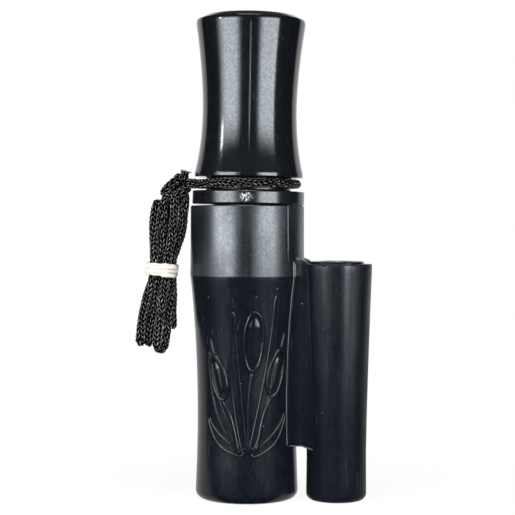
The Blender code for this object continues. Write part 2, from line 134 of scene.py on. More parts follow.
# The insert
INSERT_TILT = 0.75
INSERT_TILT_HEIGHT = 66.0
INSERT_SINK = 0.30
INSERT_ROUGHNESS = (0.20, 0.12)
INSERT_SPECULAR = 0.5
INSERT_COLOUR = (0.0036, 0.0044, 0.0056)
GATE_HEIGHT = 85.4
GATE_ASIDE = -0.6
GATE_REACH = 1.9 * MM
BELL_RIM_RADIUS = 12.8
BELL_LIP_RADIUS = 15.5
BELL_LIP_HEIGHT = 134.5
BELL_WAIST_RADIUS = 13.36
BELL_WAIST_HEIGHT = 111.0
BELL_BASE_RADIUS = 15.4
BELL_BASE_HEIGHT = 91.3
GROOVE_RADIUS = 12.0
FLANGE_RADIUS = 15.9
FLANGE_TOP = 87.36
FLANGE_BOTTOM = 83.6
TENON_RADIUS = 10.0
TENON_BOTTOM = 58.0 + INSERT_SINK
SEAL_HEIGHTS = (76.0 + INSERT_SINK, 64.0 + INSERT_SINK)
SEAL_FLOOR_RADIUS = 7.95
SEAL_HALF_HEIGHT = 1.3
BOARD_SOCKET_RADIUS = 6.3
BOARD_SOCKET_TOP = 79.7 + INSERT_SINK
BOARD_SLOPE = 2.3
BOARD_COLOUR = (0.030, 0.029, 0.027)

# The cord. U runs outwards from the barrel's axis to the hank, and V towards the front.
LANYARD_DIRECTION = radians(188.0)
CORD_DIAMETER = 2.5
CORD_STEP = 0.25
CORD_SIDES = 36
BRAID_COLUMNS = 4
BRAID_STITCH = 1.35
BRAID_DEPTH = 0.44
BRAID_SLANT = 1.3
BRAID_TWIST = 0.08
BRAID_WANDER = ((1.25, 7.3), (0.7, 3.1))
LOOP_RADIUS = 14.05
LOOP_HEIGHT = 89.15
LOOP_OPENING = 17.0
BAND_CENTRE = (24.35, 64.8)
BAND_HALF_WIDTH = 4.0
BAND_HALF_DEPTH = 4.6
BAND_HALF_HEIGHT = 1.8
BAND_SLANT = 6.0

CAMERA_TURN = radians(CAMERA_AZIMUTH)
ACROSS = np.array((cos(CAMERA_TURN), sin(CAMERA_TURN), 0.0))
TOWARDS = np.array((sin(CAMERA_TURN), -cos(CAMERA_TURN), 0.0))


# ---------------------------------------------------------------------------------------- meshes


def unit(vector):
    return vector / max(np.linalg.norm(vector), 1e-9)


def grid_faces(rows, columns, wrap_rows=False, wrap_columns=True):
    r = np.arange(rows if wrap_rows else rows - 1)[:, None]
    c = np.arange(columns if wrap_columns else columns - 1)[None, :]
    below, beside = (r + 1) % rows * columns, (c + 1) % columns
    corners = (r * columns + c, r * columns + beside, below + beside, below + c)
    return [tuple(face) for face in np.stack(corners, -1).reshape(-1, 4).tolist()]


def build(name, shapes, paint, sharp=32.0, attribute=None):
    """One object from (points, faces) shapes, in millimetres. attribute is (name, values)."""
    points, faces, start = [], [], 0
    for shape_points, shape_faces in shapes:
        points.append(shape_points)
        faces += [tuple(corner + start for corner in face) for face in shape_faces]
        start += len(shape_points)
    mesh = bpy.data.meshes.new(name)
    mesh.from_pydata((np.concatenate(points) * MM).tolist(), [], faces)
    if attribute:
        layer = mesh.attributes.new(attribute[0], "FLOAT", "POINT")
        layer.data.foreach_set("value", np.asarray(attribute[1], np.float32))
    edit = bmesh.new()
    edit.from_mesh(mesh)
    bmesh.ops.recalc_face_normals(edit, faces=edit.faces)
    edit.to_mesh(mesh)
    edit.free()
    mesh.shade_smooth()
    mesh.set_sharp_from_angle(angle=radians(sharp))
    mesh.materials.append(paint)
    return placed(name, mesh)


def placed(name, data):
    made = bpy.data.objects.new(name, data)
    bpy.context.scene.collection.objects.link(made)
    return made


def finish_piece(made, body, slot, *nodes):
    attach(made, body)
    if nodes:
        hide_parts(*nodes)
    return made


def filleted(corners):
    """The (r, z, rounding) corners of a closed outline, rounded off, as (r, z) points."""
    points = []
    for i, (r, z, rounding) in enumerate(corners):
        here = np.array((r, z))
        if not rounding:
            points.append(here)
            continue
        before, after = np.array(corners[i - 1][:2]), np.array(corners[(i + 1) % len(corners)][:2])
        start = here + unit(before - here) * rounding
        end = here + unit(after - here) * rounding
        for t in (0.0, 0.25, 0.5, 0.75, 1.0):
            points.append((1 - t) ** 2 * start + 2 * t * (1 - t) * here + t * t * end)
    return np.array(points)


def flare(waist, end, power, steps):
    """Outline points from a waist (r, z), where the curve runs level, out to an end (r, z)."""
    share = np.linspace(0, 1, steps + 1)
    radii = waist[0] + (end[0] - waist[0]) * share**power
    return [(r, z, 0) for r, z in zip(radii, waist[1] + (end[1] - waist[1]) * share)]


def arc(a, b, radius, start, end, steps):
    """Points round part of a circle about (a, b), between two angles in degrees."""
    angles = [radians(start + (end - start) * k / steps) for k in range(steps + 1)]
    return [(a + radius * cos(angle), b + radius * sin(angle)) for angle in angles]


def mouth(radius, rounding):
    """The rounded lower corner of a tube that stands on z = 0."""
    return [(r, z, 0) for r, z in arc(radius - rounding, rounding, rounding, 0, -90, 10)]


def turned(a, b, angle):
    """Two coordinates turned through an angle in their plane."""
    return a * cos(angle) - b * sin(angle), a * sin(angle) + b * cos(angle)


def signed_degrees(angle):
    """Angles in radians as degrees from -180 to 180."""
    return np.degrees((angle + pi) % (2 * pi) - pi)


def ring_angles(count, *fine):
    """Angles round a ring, in radians, with more of them near (centre, reach, step) in degrees."""
    angles = [360 * i / count for i in range(count)]
    for centre, reach, step in fine:
        angles += [(centre - reach + step * i) % 360 for i in range(int(2 * reach / step) + 1)]
    kept = []
    for angle in sorted(angles):
        if not kept or angle - kept[-1] > 0.03:
            kept.append(angle)
    return np.radians(kept)


def on_ring(axis_x, radius, angle, height):
    """Points at an angle and height round a vertical axis, as an array of X, Y and Z."""
    radius, angle, height = np.broadcast_arrays(radius, angle, height)
    flat = (
        TOWARDS[None, :] * (radius * np.cos(angle)).ravel()[:, None]
        + ACROSS[None, :] * (radius * np.sin(angle)).ravel()[:, None]
    )
    flat[:, 0] += axis_x
    flat[:, 2] = height.ravel()
    return flat


def ring(axis_x, profile, angles, shift=None):
    """A closed (r, z) outline turned about a vertical axis. shift gives how far it moves out and up."""
    r, z = profile[:, 0][:, None], profile[:, 1][:, None]
    out, up = shift(r, z, angles[None, :]) if shift else (0.0, 0.0)
    points = on_ring(axis_x, r + out, angles[None, :] + 0 * r, z + up)
    return points, grid_faces(len(profile), len(angles), wrap_rows=True)


def smooth_path(waypoints, spacing, blur=0):
    """Points at even distances along a smooth curve through the waypoints."""
    p = np.array(waypoints, float)
    p = np.vstack((2 * p[0] - p[1], p, 2 * p[-1] - p[-2]))
    t = np.linspace(0, 1, 24, endpoint=False)[:, None]
    runs = []
    for a, b, c, d in zip(p, p[1:], p[2:], p[3:]):
        squared, cubed = 2 * a - 5 * b + 4 * c - d, 3 * b - a - 3 * c + d
        runs.append(0.5 * (2 * b + (c - a) * t + squared * t**2 + cubed * t**3))
    even = resampled(np.vstack((*runs, p[-2:-1])), spacing)
    if blur:
        weights = np.hanning(2 * blur + 3)[1:-1]
        padded = np.pad(even, ((blur, blur), (0, 0)), "edge")
        softened = [np.convolve(column, weights / weights.sum(), "valid") for column in padded.T]
        even = resampled(np.stack(softened, -1), spacing)
    return even


def distances(path):
    """How far along a path each of its points is."""
    return np.append(0.0, np.cumsum(np.linalg.norm(np.diff(path, axis=0), axis=1)))


def resampled(path, spacing):
    along = distances(path)
    wanted = np.linspace(0, along[-1], max(int(round(along[-1] / spacing)), 2) + 1)
    return np.stack([np.interp(wanted, along, column) for column in path.T], -1)


def tangents(path):
    ways = np.gradient(path, axis=0)
    return ways / np.linalg.norm(ways, axis=1)[:, None]


def carried_frames(path):
    """Two unit vectors across the path at each point, which turn no more than the path does."""
    ways = tangents(path)
    side = unit(np.cross(ways[0], (0.12, 0.99, 0.1)))
    sides = np.empty_like(path)
    for i, way in enumerate(ways):
        side = unit(side - way * side.dot(way))
        sides[i] = side
    return sides, np.cross(ways, sides)


def tube(path, radii, sides, squash=1.0):
    """A closed tube along a path. radii is one number, or one for each point and side."""
    across, up = carried_frames(path)
    angles = 2 * pi * np.arange(sides) / sides
    radii = np.broadcast_to(radii, (len(path), sides))
    offsets = (
        across[:, None, :] * (radii * np.cos(angles))[..., None]
        + up[:, None, :] * (radii * squash * np.sin(angles))[..., None]
    )
    points = (path[:, None, :] + offsets).reshape(-1, 3)
    faces = grid_faces(len(path), sides)
    last = (len(path) - 1) * sides
    faces += [tuple(range(sides))[::-1], tuple(range(last, last + sides))]
    return points, faces


def block(low, high):
    x, y, z = zip(low, high)
    points = np.array([(a, b, c) for a in x for b in y for c in z], float)
    faces = [(0, 1, 3, 2), (4, 6, 7, 5), (0, 4, 5, 1), (2, 3, 7, 6), (0, 2, 6, 4), (1, 5, 7, 3)]
    return points, faces


def prism(loop, low, high, order):
    """A flat loop given thickness. order says which axes the loop's two numbers and the depth take."""
    count = len(loop)
    flat = np.array([(a, b, depth) for depth in (low, high) for a, b in loop], float)
    points = np.empty_like(flat)
    for column, axis in enumerate(order):
        points[:, axis] = flat[:, column]
    faces = [tuple(range(count)), tuple(range(2 * count - 1, count - 1, -1))]
    faces += [(i, (i + 1) % count, count + (i + 1) % count, count + i) for i in range(count)]
    return points, faces


def lathe(axis_x, profile, steps):
    """A solid from (r, z) points that start and end on the axis."""
    inner = np.array(profile[1:-1], float)
    angles = ring_angles(steps)
    points = on_ring(axis_x, inner[:, :1], angles[None, :] + 0 * inner[:, :1], inner[:, 1:2])
    ends = np.array([(axis_x, 0.0, profile[0][1]), (axis_x, 0.0, profile[-1][1])])
    faces = grid_faces(len(inner), steps)
    first, last = len(points), len(points) + 1
    tail = (len(inner) - 1) * steps
    for i in range(steps):
        j = (i + 1) % steps
        faces += [(first, j, i), (last, tail + i, tail + j)]
    return np.vstack((points, ends)), faces


def carved(name, solid, cutters, paint):
    """A solid with the cutters taken out of it, as one object."""
    made = build(name, [solid], paint)
    tools = [build(f"{name}_tool_{i}", [cutter], paint) for i, cutter in enumerate(cutters)]
    for tool in tools:
        step = made.modifiers.new(tool.name, "BOOLEAN")
        step.operation = "DIFFERENCE"
        step.solver = "EXACT"
        step.object = tool
    bpy.context.view_layer.update()
    cut = bpy.data.meshes.new_from_object(made.evaluated_get(bpy.context.evaluated_depsgraph_get()))
    made.modifiers.clear()
    made.data = cut
    cut.shade_smooth()
    cut.set_sharp_from_angle(angle=radians(30.0))
    for tool in tools:
        bpy.data.objects.remove(tool, do_unlink=True)
    return made


# ------------------------------------------------------------------------------------- materials


def is_socket(value):
    return isinstance(value, bpy.types.NodeSocket)


def feed(made, values):
    """Sets a node's inputs, or links them where the value comes from another node."""
    for key, value in values.items():
        if is_socket(value):
            made.id_data.links.new(value, made.inputs[key])
        else:
            made.inputs[key].default_value = value


def node(kind, inputs, tree=None, **settings):
    """A new node. Without a tree it joins the one that its linked inputs are in."""
    tree = tree or next(value.id_data for value in inputs.values() if is_socket(value))
    made = tree.nodes.new("ShaderNode" + kind)
    for key, value in settings.items():
        setattr(made, key, value)
    feed(made, inputs)
    return made


def new_material(name, **sockets):
    """A material, its shader and the place on the piece."""
    made = bpy.data.materials.new(name)
    made.use_nodes = True
    shader = made.node_tree.nodes["Principled BSDF"]
    feed(shader, {key.replace("_", " "): value for key, value in sockets.items()})
    return made, shader, node("TexCoord", {}, made.node_tree).outputs["Object"]


def finished(made, shader, colour, roughness, bump):
    """The material once its shader is fed. bump is (height, strength, distance)."""
    relief = node("Bump", dict(zip(("Height", "Strength", "Distance"), bump)))
    feed(shader, {"Base Color": colour, "Roughness": roughness, "Normal": relief.outputs["Normal"]})
    return made


def attribute(place, name):
    return node("Attribute", {}, place.id_data, attribute_name=name).outputs["Fac"]


def noise(place, stretch, detail=3.0, roughness=0.55, turn=(0.0, 0.0, 0.0)):
    """Noise from 0 to 1 whose grains are 1 / stretch metres long, the same or along each axis."""
    scale = stretch if isinstance(stretch, tuple) else (stretch,) * 3
    scaled = node("Mapping", {"Vector": place, "Rotation": turn, "Scale": scale}).outputs["Vector"]
    settings = {"Vector": scaled, "Scale": 1.0, "Detail": detail, "Roughness": roughness}
    return node("TexNoise", settings).outputs["Fac"]


def ranged(value, start, end, low=0.0, high=1.0):
    """Low at the start and high at the end, with a soft step between them."""
    limits = {"Value": value, "From Min": start, "From Max": end, "To Min": low, "To Max": high}
    return node("MapRange", limits, interpolation_type="SMOOTHSTEP").outputs["Result"]


def chained(operation, first, *others):
    for other in others:
        first = node("Math", {0: first, 1: other}, operation=operation).outputs["Value"]
    return first


def times(*values):
    return chained("MULTIPLY", *values)


def plus(*values):
    return chained("ADD", *values)


def highest(*values):
    return chained("MAXIMUM", *values)


def rgb(share, *colours):
    """A mix of two colours."""
    first, second = (colour if is_socket(colour) else (*colour, 1.0) for colour in colours)
    return node("Mix", {0: share, 6: first, 7: second}, data_type="RGBA").outputs[2]


def dust(place, share):
    """Specks: 1 in a small spot in some of the cells, 0 elsewhere."""
    settings = {"Vector": place, "Scale": 1 / (DUST_CELL * MM), "Randomness": 1.0}
    cells = node("TexVoronoi", settings).outputs
    chosen = node("SeparateColor", {"Color": cells["Color"]}).outputs["Red"]
    spot = ranged(cells["Distance"], DUST_SIZE, 0.4 * DUST_SIZE)
    return times(spot, chained("LESS_THAN", chosen, share))


def scratches(place, turn, share):
    """Fine straight scratches that lie along one direction, 1 in the scratch."""
    grain = noise(place, (2600.0, 2600.0, 60.0), detail=1.0, roughness=0.4, turn=turn)
    return ranged(grain, 1.0 - share, 1.04 - share)


def torn_mark(place, centre, reach):
    """Where the plastic was torn from its gate: 1 in a speckle that fades out at the reach."""
    away = node("VectorMath", {0: place, 1: centre}, operation="DISTANCE").outputs["Value"]
    speckle = noise(place, 1900.0, detail=1.0)
    return times(ranged(away, reach, 0.3 * reach), ranged(speckle, 0.47, 0.60))


def barrel_finish(place):
    """Satin above the crease, glossy below it, and a matt side tube, duller low down and at its left."""
    spot = node("SeparateXYZ", {"Vector": place}).outputs
    crease = CREASE_HEIGHT * MM
    beside = ranged(spot["X"], (BARREL_X + 15.4) * MM, (BARREL_X + 17.0) * MM)
    above = ranged(spot["Z"], crease - 0.0002, crease + 0.0002)
    rough = ranged(above, 0.0, 1.0, *BARREL_ROUGHNESS)
    shine = ranged(above, 0.0, 1.0, *BARREL_SPECULAR)
    up = ranged(spot["Z"], 0.015, 0.062, *SIDE_SPECULAR)
    right = ranged(spot["X"], (SIDE_X - 5.0) * MM, (SIDE_X + 3.0) * MM, 0.45, 1.0)
    brushed = ranged(noise(place, (420.0, 420.0, 14.0)), 0.32, 0.68, 0.60, 1.45)
    shine, rough = (
        plus(here, times(beside, chained("SUBTRACT", there, here)))
        for here, there in ((shine, times(up, right, brushed)), (rough, SIDE_ROUGHNESS))
    )
    return rough, shine


def insert_finish(place):
    """A bright bell above a flange that is satin."""
    height = node("SeparateXYZ", {"Vector": place}).outputs["Z"]
    return ranged(height, 0.0885, 0.0895, *INSERT_ROUGHNESS), INSERT_SPECULAR


def black_plastic(name, colour, roughness, streaks, specks=0.10, ior=1.48, torn=None):
    """Moulded black plastic: flow streaks along the tube, clouds of wear, scratches and dust.
    roughness is a number, or a function that works out the roughness and the specular level from
    the place. torn is the centre and the reach of a rough mark."""
    made, shader, place = new_material(name, IOR=ior)
    skin = ranged(noise(place, 1600.0, roughness=0.7), 0.36, 0.64)
    feed(shader, {"Specular Tint": rgb(skin, *SKIN_TINTS)})
    flow = noise(place, (1500.0, 1500.0, 22.0), detail=4.0)
    clouds = noise(place, (90.0, 90.0, 60.0))
    grain = noise(place, 2600.0, detail=2.0)
    mottle = noise(place, (700.0, 700.0, 520.0), detail=4.0, roughness=0.7)
    marks = highest(scratches(place, (0.0, 0.35, 0.2), 0.245), scratches(place, (0.3, -0.5, 0.9), 0.24))
    spots = dust(place, specks)
    if torn:
        spots = highest(spots, torn_mark(place, *torn))
    deep = tuple(dark * channel for dark, channel in zip((0.70, 0.55, 0.62), colour))
    pale = tuple(1.45 * channel for channel in colour)
    base = rgb(ranged(mottle, 0.30, 0.75), rgb(clouds, deep, colour), pale)
    scratch_wear_and_painted_highlight = rgb(times(marks, 0.5), base, SCRATCH_COLOUR)
    # Where the edge attribute is 1, on the thin lines along the web's edges, the colour is a painted
    # highlight.
    edge_highlighted = rgb(attribute(place, "edge"), scratch_wear_and_painted_highlight, EDGE_HIGHLIGHT_COLOUR)
    wear = times(ranged(clouds, 0.3, 0.75, 0.85, 1.3), ranged(mottle, 0.3, 0.75, 0.96, 1.05))
    streaked = ranged(flow, 0.3, 0.7, 1.0 - streaks, 1.0 + streaks)
    if callable(roughness):
        roughness, shine = roughness(place)
        feed(shader, {"Specular IOR Level": shine})
    rough = plus(times(wear, streaked, roughness), times(marks, 0.12), times(spots, 0.4))
    relief = plus(times(flow, streaks), plus(times(mottle, 0.12), times(grain, 0.2)))
    return finished(made, shader, rgb(spots, edge_highlighted, DUST_COLOUR), rough, (relief, 0.30, 0.00003))


def cord_material():
    made, shader, place = new_material("lanyard_cord")
    # Painted light: where the braid's ridge is low the colour is painted near black as shade in the
    # hollows, and the specular level falls there too; the pale fibres on the ridge tops are a painted
    # highlight.
    ridge = ranged(attribute(place, "ridge"), 0.55, 1.0)
    fibres = noise(place, 5200.0, detail=2.0)
    thread = rgb(noise(place, 160.0), (0.010, 0.010, 0.010), (0.048, 0.047, 0.045))
    lit = rgb(ranged(fibres, 0.48, 0.68), thread, (0.72, 0.71, 0.68))
    feed(shader, {"Specular IOR Level": ridge})
    colour = rgb(ridge, (0.0003, 0.0005, 0.0006), lit)
    return finished(made, shader, colour, ranged(fibres, 0.3, 0.7, 0.30, 0.48), (fibres, 0.5, 0.00012))


def band_material():
    made, shader, place = new_material("band_rubber", Subsurface_Weight=0.12, Subsurface_Scale=0.0008)
    blotches = noise(place, (420.0, 420.0, 300.0))
    crepe = noise(place, (2200.0, 2200.0, 4200.0))
    base = rgb(ranged(blotches, 0.4, 0.72), (0.60, 0.575, 0.52), (0.47, 0.385, 0.32))
    # The low parts between the band's turns are painted darker brown as shade.
    crease_shade = ranged(attribute(place, "crease_shade"), 0.0, 0.6, 0.75, 0.0)
    colour = rgb(crease_shade, base, (0.36, 0.26, 0.19))
    return finished(made, shader, colour, ranged(crepe, 0.3, 0.7, 0.45, 0.7), (crepe, 0.35, 0.00010))


def rubber_material():
    made, shader, place = new_material("seal_rubber", IOR=1.5)
    colour = rgb(noise(place, (380.0, 380.0, 900.0)), (0.008, 0.008, 0.008), (0.028, 0.027, 0.026))
    grain = noise(place, 4000.0)
    return finished(made, shader, colour, ranged(grain, 0.3, 0.7, 0.42, 0.62), (grain, 0.3, 0.00005))


def film_material():
    """Clear reed film, hazy, with a frosted grain along it."""
    made, shader, place = new_material("reed_film", IOR=1.6, Transmission_Weight=0.35)
    brushed = noise(place, (1800.0, 1800.0, 40.0), detail=2.0)
    colour = rgb(noise(place, 250.0), (0.62, 0.64, 0.60), (0.80, 0.80, 0.74))
    rough = ranged(brushed, 0.3, 0.7, 0.16, 0.34)
    return finished(made, shader, colour, rough, (brushed, 0.15, 0.00003))


def cork_material():
    made, shader, place = new_material("wedge_cork")
    grains = node("TexVoronoi", {"Vector": place, "Scale": 1500.0}).outputs
    tint = node("SeparateColor", {"Color": grains["Color"]}).outputs["Green"]
    pores = noise(place, 2400.0)
    base = rgb(tint, (0.36, 0.20, 0.10), (0.56, 0.36, 0.19))
    colour = rgb(ranged(pores, 0.36, 0.30), base, (0.10, 0.045, 0.02))
    return finished(made, shader, colour, 0.9, (plus(pores, grains["Distance"]), 0.5, 0.0002))


def floor_material():
    """A pale sweep that fades into the white of the background."""
    made, shader, place = new_material("pale_floor")
    tree = made.node_tree
    tree.nodes.remove(shader)
    pale = rgb(noise(place, 30.0), (0.86, 0.86, 0.86), (0.90, 0.90, 0.90))
    matt = node("BsdfDiffuse", {"Color": pale}).outputs["BSDF"]
    glow = node("Emission", {"Strength": 1.0}, tree).outputs["Emission"]
    reach = node("VectorMath", {0: place}, operation="LENGTH").outputs["Value"]
    both = node("MixShader", {0: ranged(reach, 0.03, 0.11, 0.92, 1.0), 1: matt, 2: glow})
    feed(tree.nodes["Material Output"], {"Surface": both.outputs["Shader"]})
    return made


# ---------------------------------------------------------------------------------- the moulding


def barrel_outline():
    waist = (WAIST_RADIUS, WAIST_HEIGHT)
    return [
        (SOCKET_RADIUS, BARREL_HEIGHT, 0.35), (BARREL_TOP_RADIUS, BARREL_HEIGHT, 0.4),
        (CREASE_RADIUS - 0.03, CREASE_HEIGHT + 3.0, 0), (CREASE_RADIUS, CREASE_HEIGHT + 0.12, 0),
        *flare(waist, (CREASE_RADIUS, CREASE_HEIGHT), WAIST_POWER, 40)[::-1],
        *flare(waist, (MOUTH_RADIUS, MOUTH_ROUNDING), MOUTH_POWER, 12)[1:-1],
        *mouth(MOUTH_RADIUS, MOUTH_ROUNDING),
        (MAIN_BORE_RADIUS + 0.8, 0.0, 0.15), (MAIN_BORE_RADIUS, 0.9, 0.15),
        (MAIN_BORE_RADIUS, SOCKET_FLOOR, 0.2), (SOCKET_RADIUS, SOCKET_FLOOR, 0),
    ]


def side_tube_outline():
    low, top = (SIDE_LOW_RADIUS, SIDE_LOW_HEIGHT), (SIDE_TOP_RADIUS, SIDE_HEIGHT - 1.5)
    ledge = SIDE_HEIGHT - SIDE_RIM_DEPTH
    return [
        (SIDE_RIM_RADIUS, SIDE_HEIGHT, 0.2), (SIDE_TOP_RADIUS, SIDE_HEIGHT, 0.4),
        *flare(low, top, SIDE_TAPER_POWER, 24)[::-1],
        *mouth(SIDE_MOUTH_RADIUS, SIDE_MOUTH_ROUNDING),
        (SIDE_BORE_RADIUS + 0.6, 0.0, 0.1), (SIDE_BORE_RADIUS, 0.7, 0.1),
        (SIDE_BORE_RADIUS, SIDE_SOCKET_FLOOR, 0.2), (SIDE_SOCKET_RADIUS, SIDE_SOCKET_FLOOR, 0),
        (SIDE_SOCKET_RADIUS, ledge, 0.2), (SIDE_RIM_RADIUS, ledge, 0),
    ]


def outer_radius(corners, heights):
    """The radius of a tube's outside at the given heights."""
    outside = [(z, r) for r, z, rounding in corners[1:-6]]
    z, r = np.array(sorted(outside)).T
    return np.interp(heights, z, r)


def hump(distance, width):
    return np.exp(-((distance / width) ** 2))


def barrel_shift(r, z, angle):
    """The parting line beside the web, a dimple on the crease, and the waviness of the moulding."""
    degrees = signed_degrees(angle)
    outside = r > SOCKET_RADIUS + 1.0
    line = 44.5 + 0.028 * np.clip(80.0 - z, 0, None) ** 2
    parting = -0.16 * hump((degrees - line) * 0.28, 0.13) * (z > CREASE_HEIGHT + 3.5)
    dimple = -0.22 * hump(np.hypot((degrees - 1.0) * 0.28, z - CREASE_HEIGHT - 0.6), 0.55)
    ripple = 0.012 * np.sin(5 * angle + 0.05 * z) + 0.008 * np.sin(11 * angle + 1.3)
    return np.where(outside, parting + dimple + ripple, 0.0), 0.0


def side_shift(r, z, angle):
    """A small notch in the rim of the side tube, and the waviness of the moulding."""
    degrees = signed_degrees(angle)
    rim = (z > SIDE_HEIGHT - 0.9) & (r > SIDE_RIM_RADIUS - 0.1)
    notch = -0.55 * hump((degrees + 25.0) * 0.17, 0.45) * rim
    ripple = 0.010 * np.sin(4 * angle + 0.07 * z)
    return np.where(r > SIDE_SOCKET_RADIUS + 0.6, ripple, 0.0), notch


def web_half_thickness(share, z):
    """The web's half thickness, from the barrel at share 0 to the side tube at share 1."""
    high = np.clip((z - WEB_BOTTOM) / (WEB_TOP - WEB_BOTTOM), 0, 1)
    at_barrel = WEB_HALF_THICKNESS_LOW + (WEB_HALF_THICKNESS_HIGH - WEB_HALF_THICKNESS_LOW) * high
    return at_barrel + (WEB_HALF_THICKNESS_LOW - at_barrel) * share


def web_levels(share):
    """The heights of the web's bottom and top, a share of the way from the barrel to the tube."""
    mound = 1.6 * sin(pi * min(share / 0.92, 1.0)) ** 0.7
    return WEB_BOTTOM - 1.3 * max(share - 0.6, 0.0) / 0.4, WEB_TOP - 0.5 + mound


def web_point(share, side, inset, z):
    """A point on the front or back of the web, or inset from it."""
    y = side * (web_half_thickness(share, z) - inset)
    start = BARREL_X + sqrt(12.4**2 - y * y)
    reach = outer_radius(SIDE_TUBE, min(z, SIDE_HEIGHT - 1.0)) - 0.75
    end = SIDE_X - sqrt(max(reach**2 - y * y, 0.0))
    return start + (end - start) * share, y, z


def make_web_shape():
    """The slab between the tubes, with a mound on its top and a lobe at its lower right corner."""
    c = WEB_ROUNDING
    section = []
    quarter = [radians(15 * k) for k in range(1, 7)]
    for side in (-1, 1):
        rising = [(side, 0.0, v / 40, c * (1 - 2 * v / 40)) for v in range(41)]
        below, above = (
            [(side, c * (1 - cos(a)), v, way * c * (1 - sin(a))) for a in quarter]
            for v, way in ((0.0, 1), (1.0, -1))
        )
        flat_bottom, flat_top = ([(side * f, c, v, 0.0) for f in (0.66, 0.33)] for v in (0.0, 1.0))
        half = flat_bottom[::-1] + below[::-1] + rising + above + flat_top
        section += half if side < 0 else half[::-1]
    stations = np.linspace(0, 1, 25)
    rows = []
    for share in stations:
        bottom, top = web_levels(share)
        for side, inset, v, rise in section:
            rows.append(web_point(share, side, inset, bottom + (top - bottom) * v + rise))
    return np.array(rows), grid_faces(len(stations), len(section))


def beside_barrel(heights):
    """Where the web's faces leave the barrel: their distance from the middle, and their X."""
    half = web_half_thickness(0.15, heights)
    return half, BARREL_X + np.sqrt(outer_radius(BARREL, heights) ** 2 - half**2)


def contact_beads():
    """The thin fillets where the web meets the two tubes, front and back."""
    shapes = []
    heights = np.linspace(WEB_BOTTOM + 0.6, WEB_TOP - 0.8, 90)
    half, x = beside_barrel(heights)
    side_half = web_half_thickness(0.9, heights)
    lower = np.minimum(heights, SIDE_HEIGHT - 1.2)
    side_x = SIDE_X - np.sqrt(outer_radius(SIDE_TUBE, lower) ** 2 - side_half**2)
    for side in (-1, 1):
        way = np.stack((x - 0.35, side * (half + 0.30), heights), -1)
        shapes.append(tube(way, 0.66, 20, squash=0.75))
        shapes.append(tube(np.stack((side_x, side * side_half, lower), -1), 0.28, 10))
    return shapes


def painted_highlight_edges():
    """The thin lines along the edges of the web, front and back, painted pale as a highlight."""
    shapes = []
    heights = np.linspace(WEB_BOTTOM + 0.5, WEB_TOP - 0.3, 90)
    half, x = beside_barrel(heights)
    shares = np.linspace(0.1, 0.97, 30)
    for side in (-1, 1):
        ways = [np.stack((x - 0.40, side * (half + 0.76), heights), -1)]
        for end, rise in ((0, 0.3), (1, -0.3)):
            edge = [web_point(share, side, 0.33, web_levels(share)[end] + rise) for share in shares]
            ways.append(np.array(edge))
        shapes += [tube(way, EDGE_LINE_RADIUS, 10) for way in ways]
    return shapes


def stroke(points, width, height, closed=False):
    """A raised line on the barrel, through (distance round, height) points in millimetres."""
    way = [(a, z, 0.0) for a, z in points]
    if closed:
        way = way + [way[0]]
    flat = smooth_path(way, STROKE_STEP)
    angle = flat[:, 0] / RELIEF_RADIUS
    radius = outer_radius(BARREL, flat[:, 1])
    centre = on_ring(BARREL_X, radius, angle, flat[:, 1])
    normal = on_ring(0.0, 1.0, angle, 0.0)
    across = np.cross(tangents(centre), normal)
    ends = np.ones(len(centre))
    if not closed:
        along = STROKE_STEP * np.arange(len(centre))
        ends = np.clip(np.minimum(along, along[-1] - along) / (0.8 * width) + 0.05, 0, 1) ** 0.5
    turn = np.radians(np.linspace(-25, 205, 11))
    offsets = (
        across[:, None, :] * (width / 2 * ends[:, None] * np.cos(turn))[..., None]
        + normal[:, None, :] * (height * ends[:, None] * np.sin(turn) - 0.03)[..., None]
    )
    points = (centre[:, None, :] + offsets).reshape(-1, 3)
    return points, grid_faces(len(centre), len(turn), wrap_columns=False)


def oval(centre, half_width, half_height, lean):
    t = 2 * pi * np.arange(14) / 14
    a, z = turned(half_width * np.cos(t), half_height * np.sin(t), -lean)
    return np.stack((centre[0] + a, centre[1] + z), -1)


def leaf(root, tip, bow, width):
    """A long leaf's outline from root to tip that bows sideways."""
    root, tip = np.array(root), np.array(tip)
    along = tip - root
    beside = np.array((along[1], -along[0])) / np.linalg.norm(along)
    left, right = [], []
    for t in (0.0, 0.2, 0.4, 0.6, 0.8, 0.93):
        middle = root + along * t + beside * bow * sin(pi * t * 0.9)
        half = width * (0.35 + 0.65 * sin(pi * min(t + 0.12, 1.0))) / 2
        left.append(tuple(middle - beside * half))
        right.append(tuple(middle + beside * half))
    return left + [tuple(tip + beside * bow * 0.3)] + right[::-1]


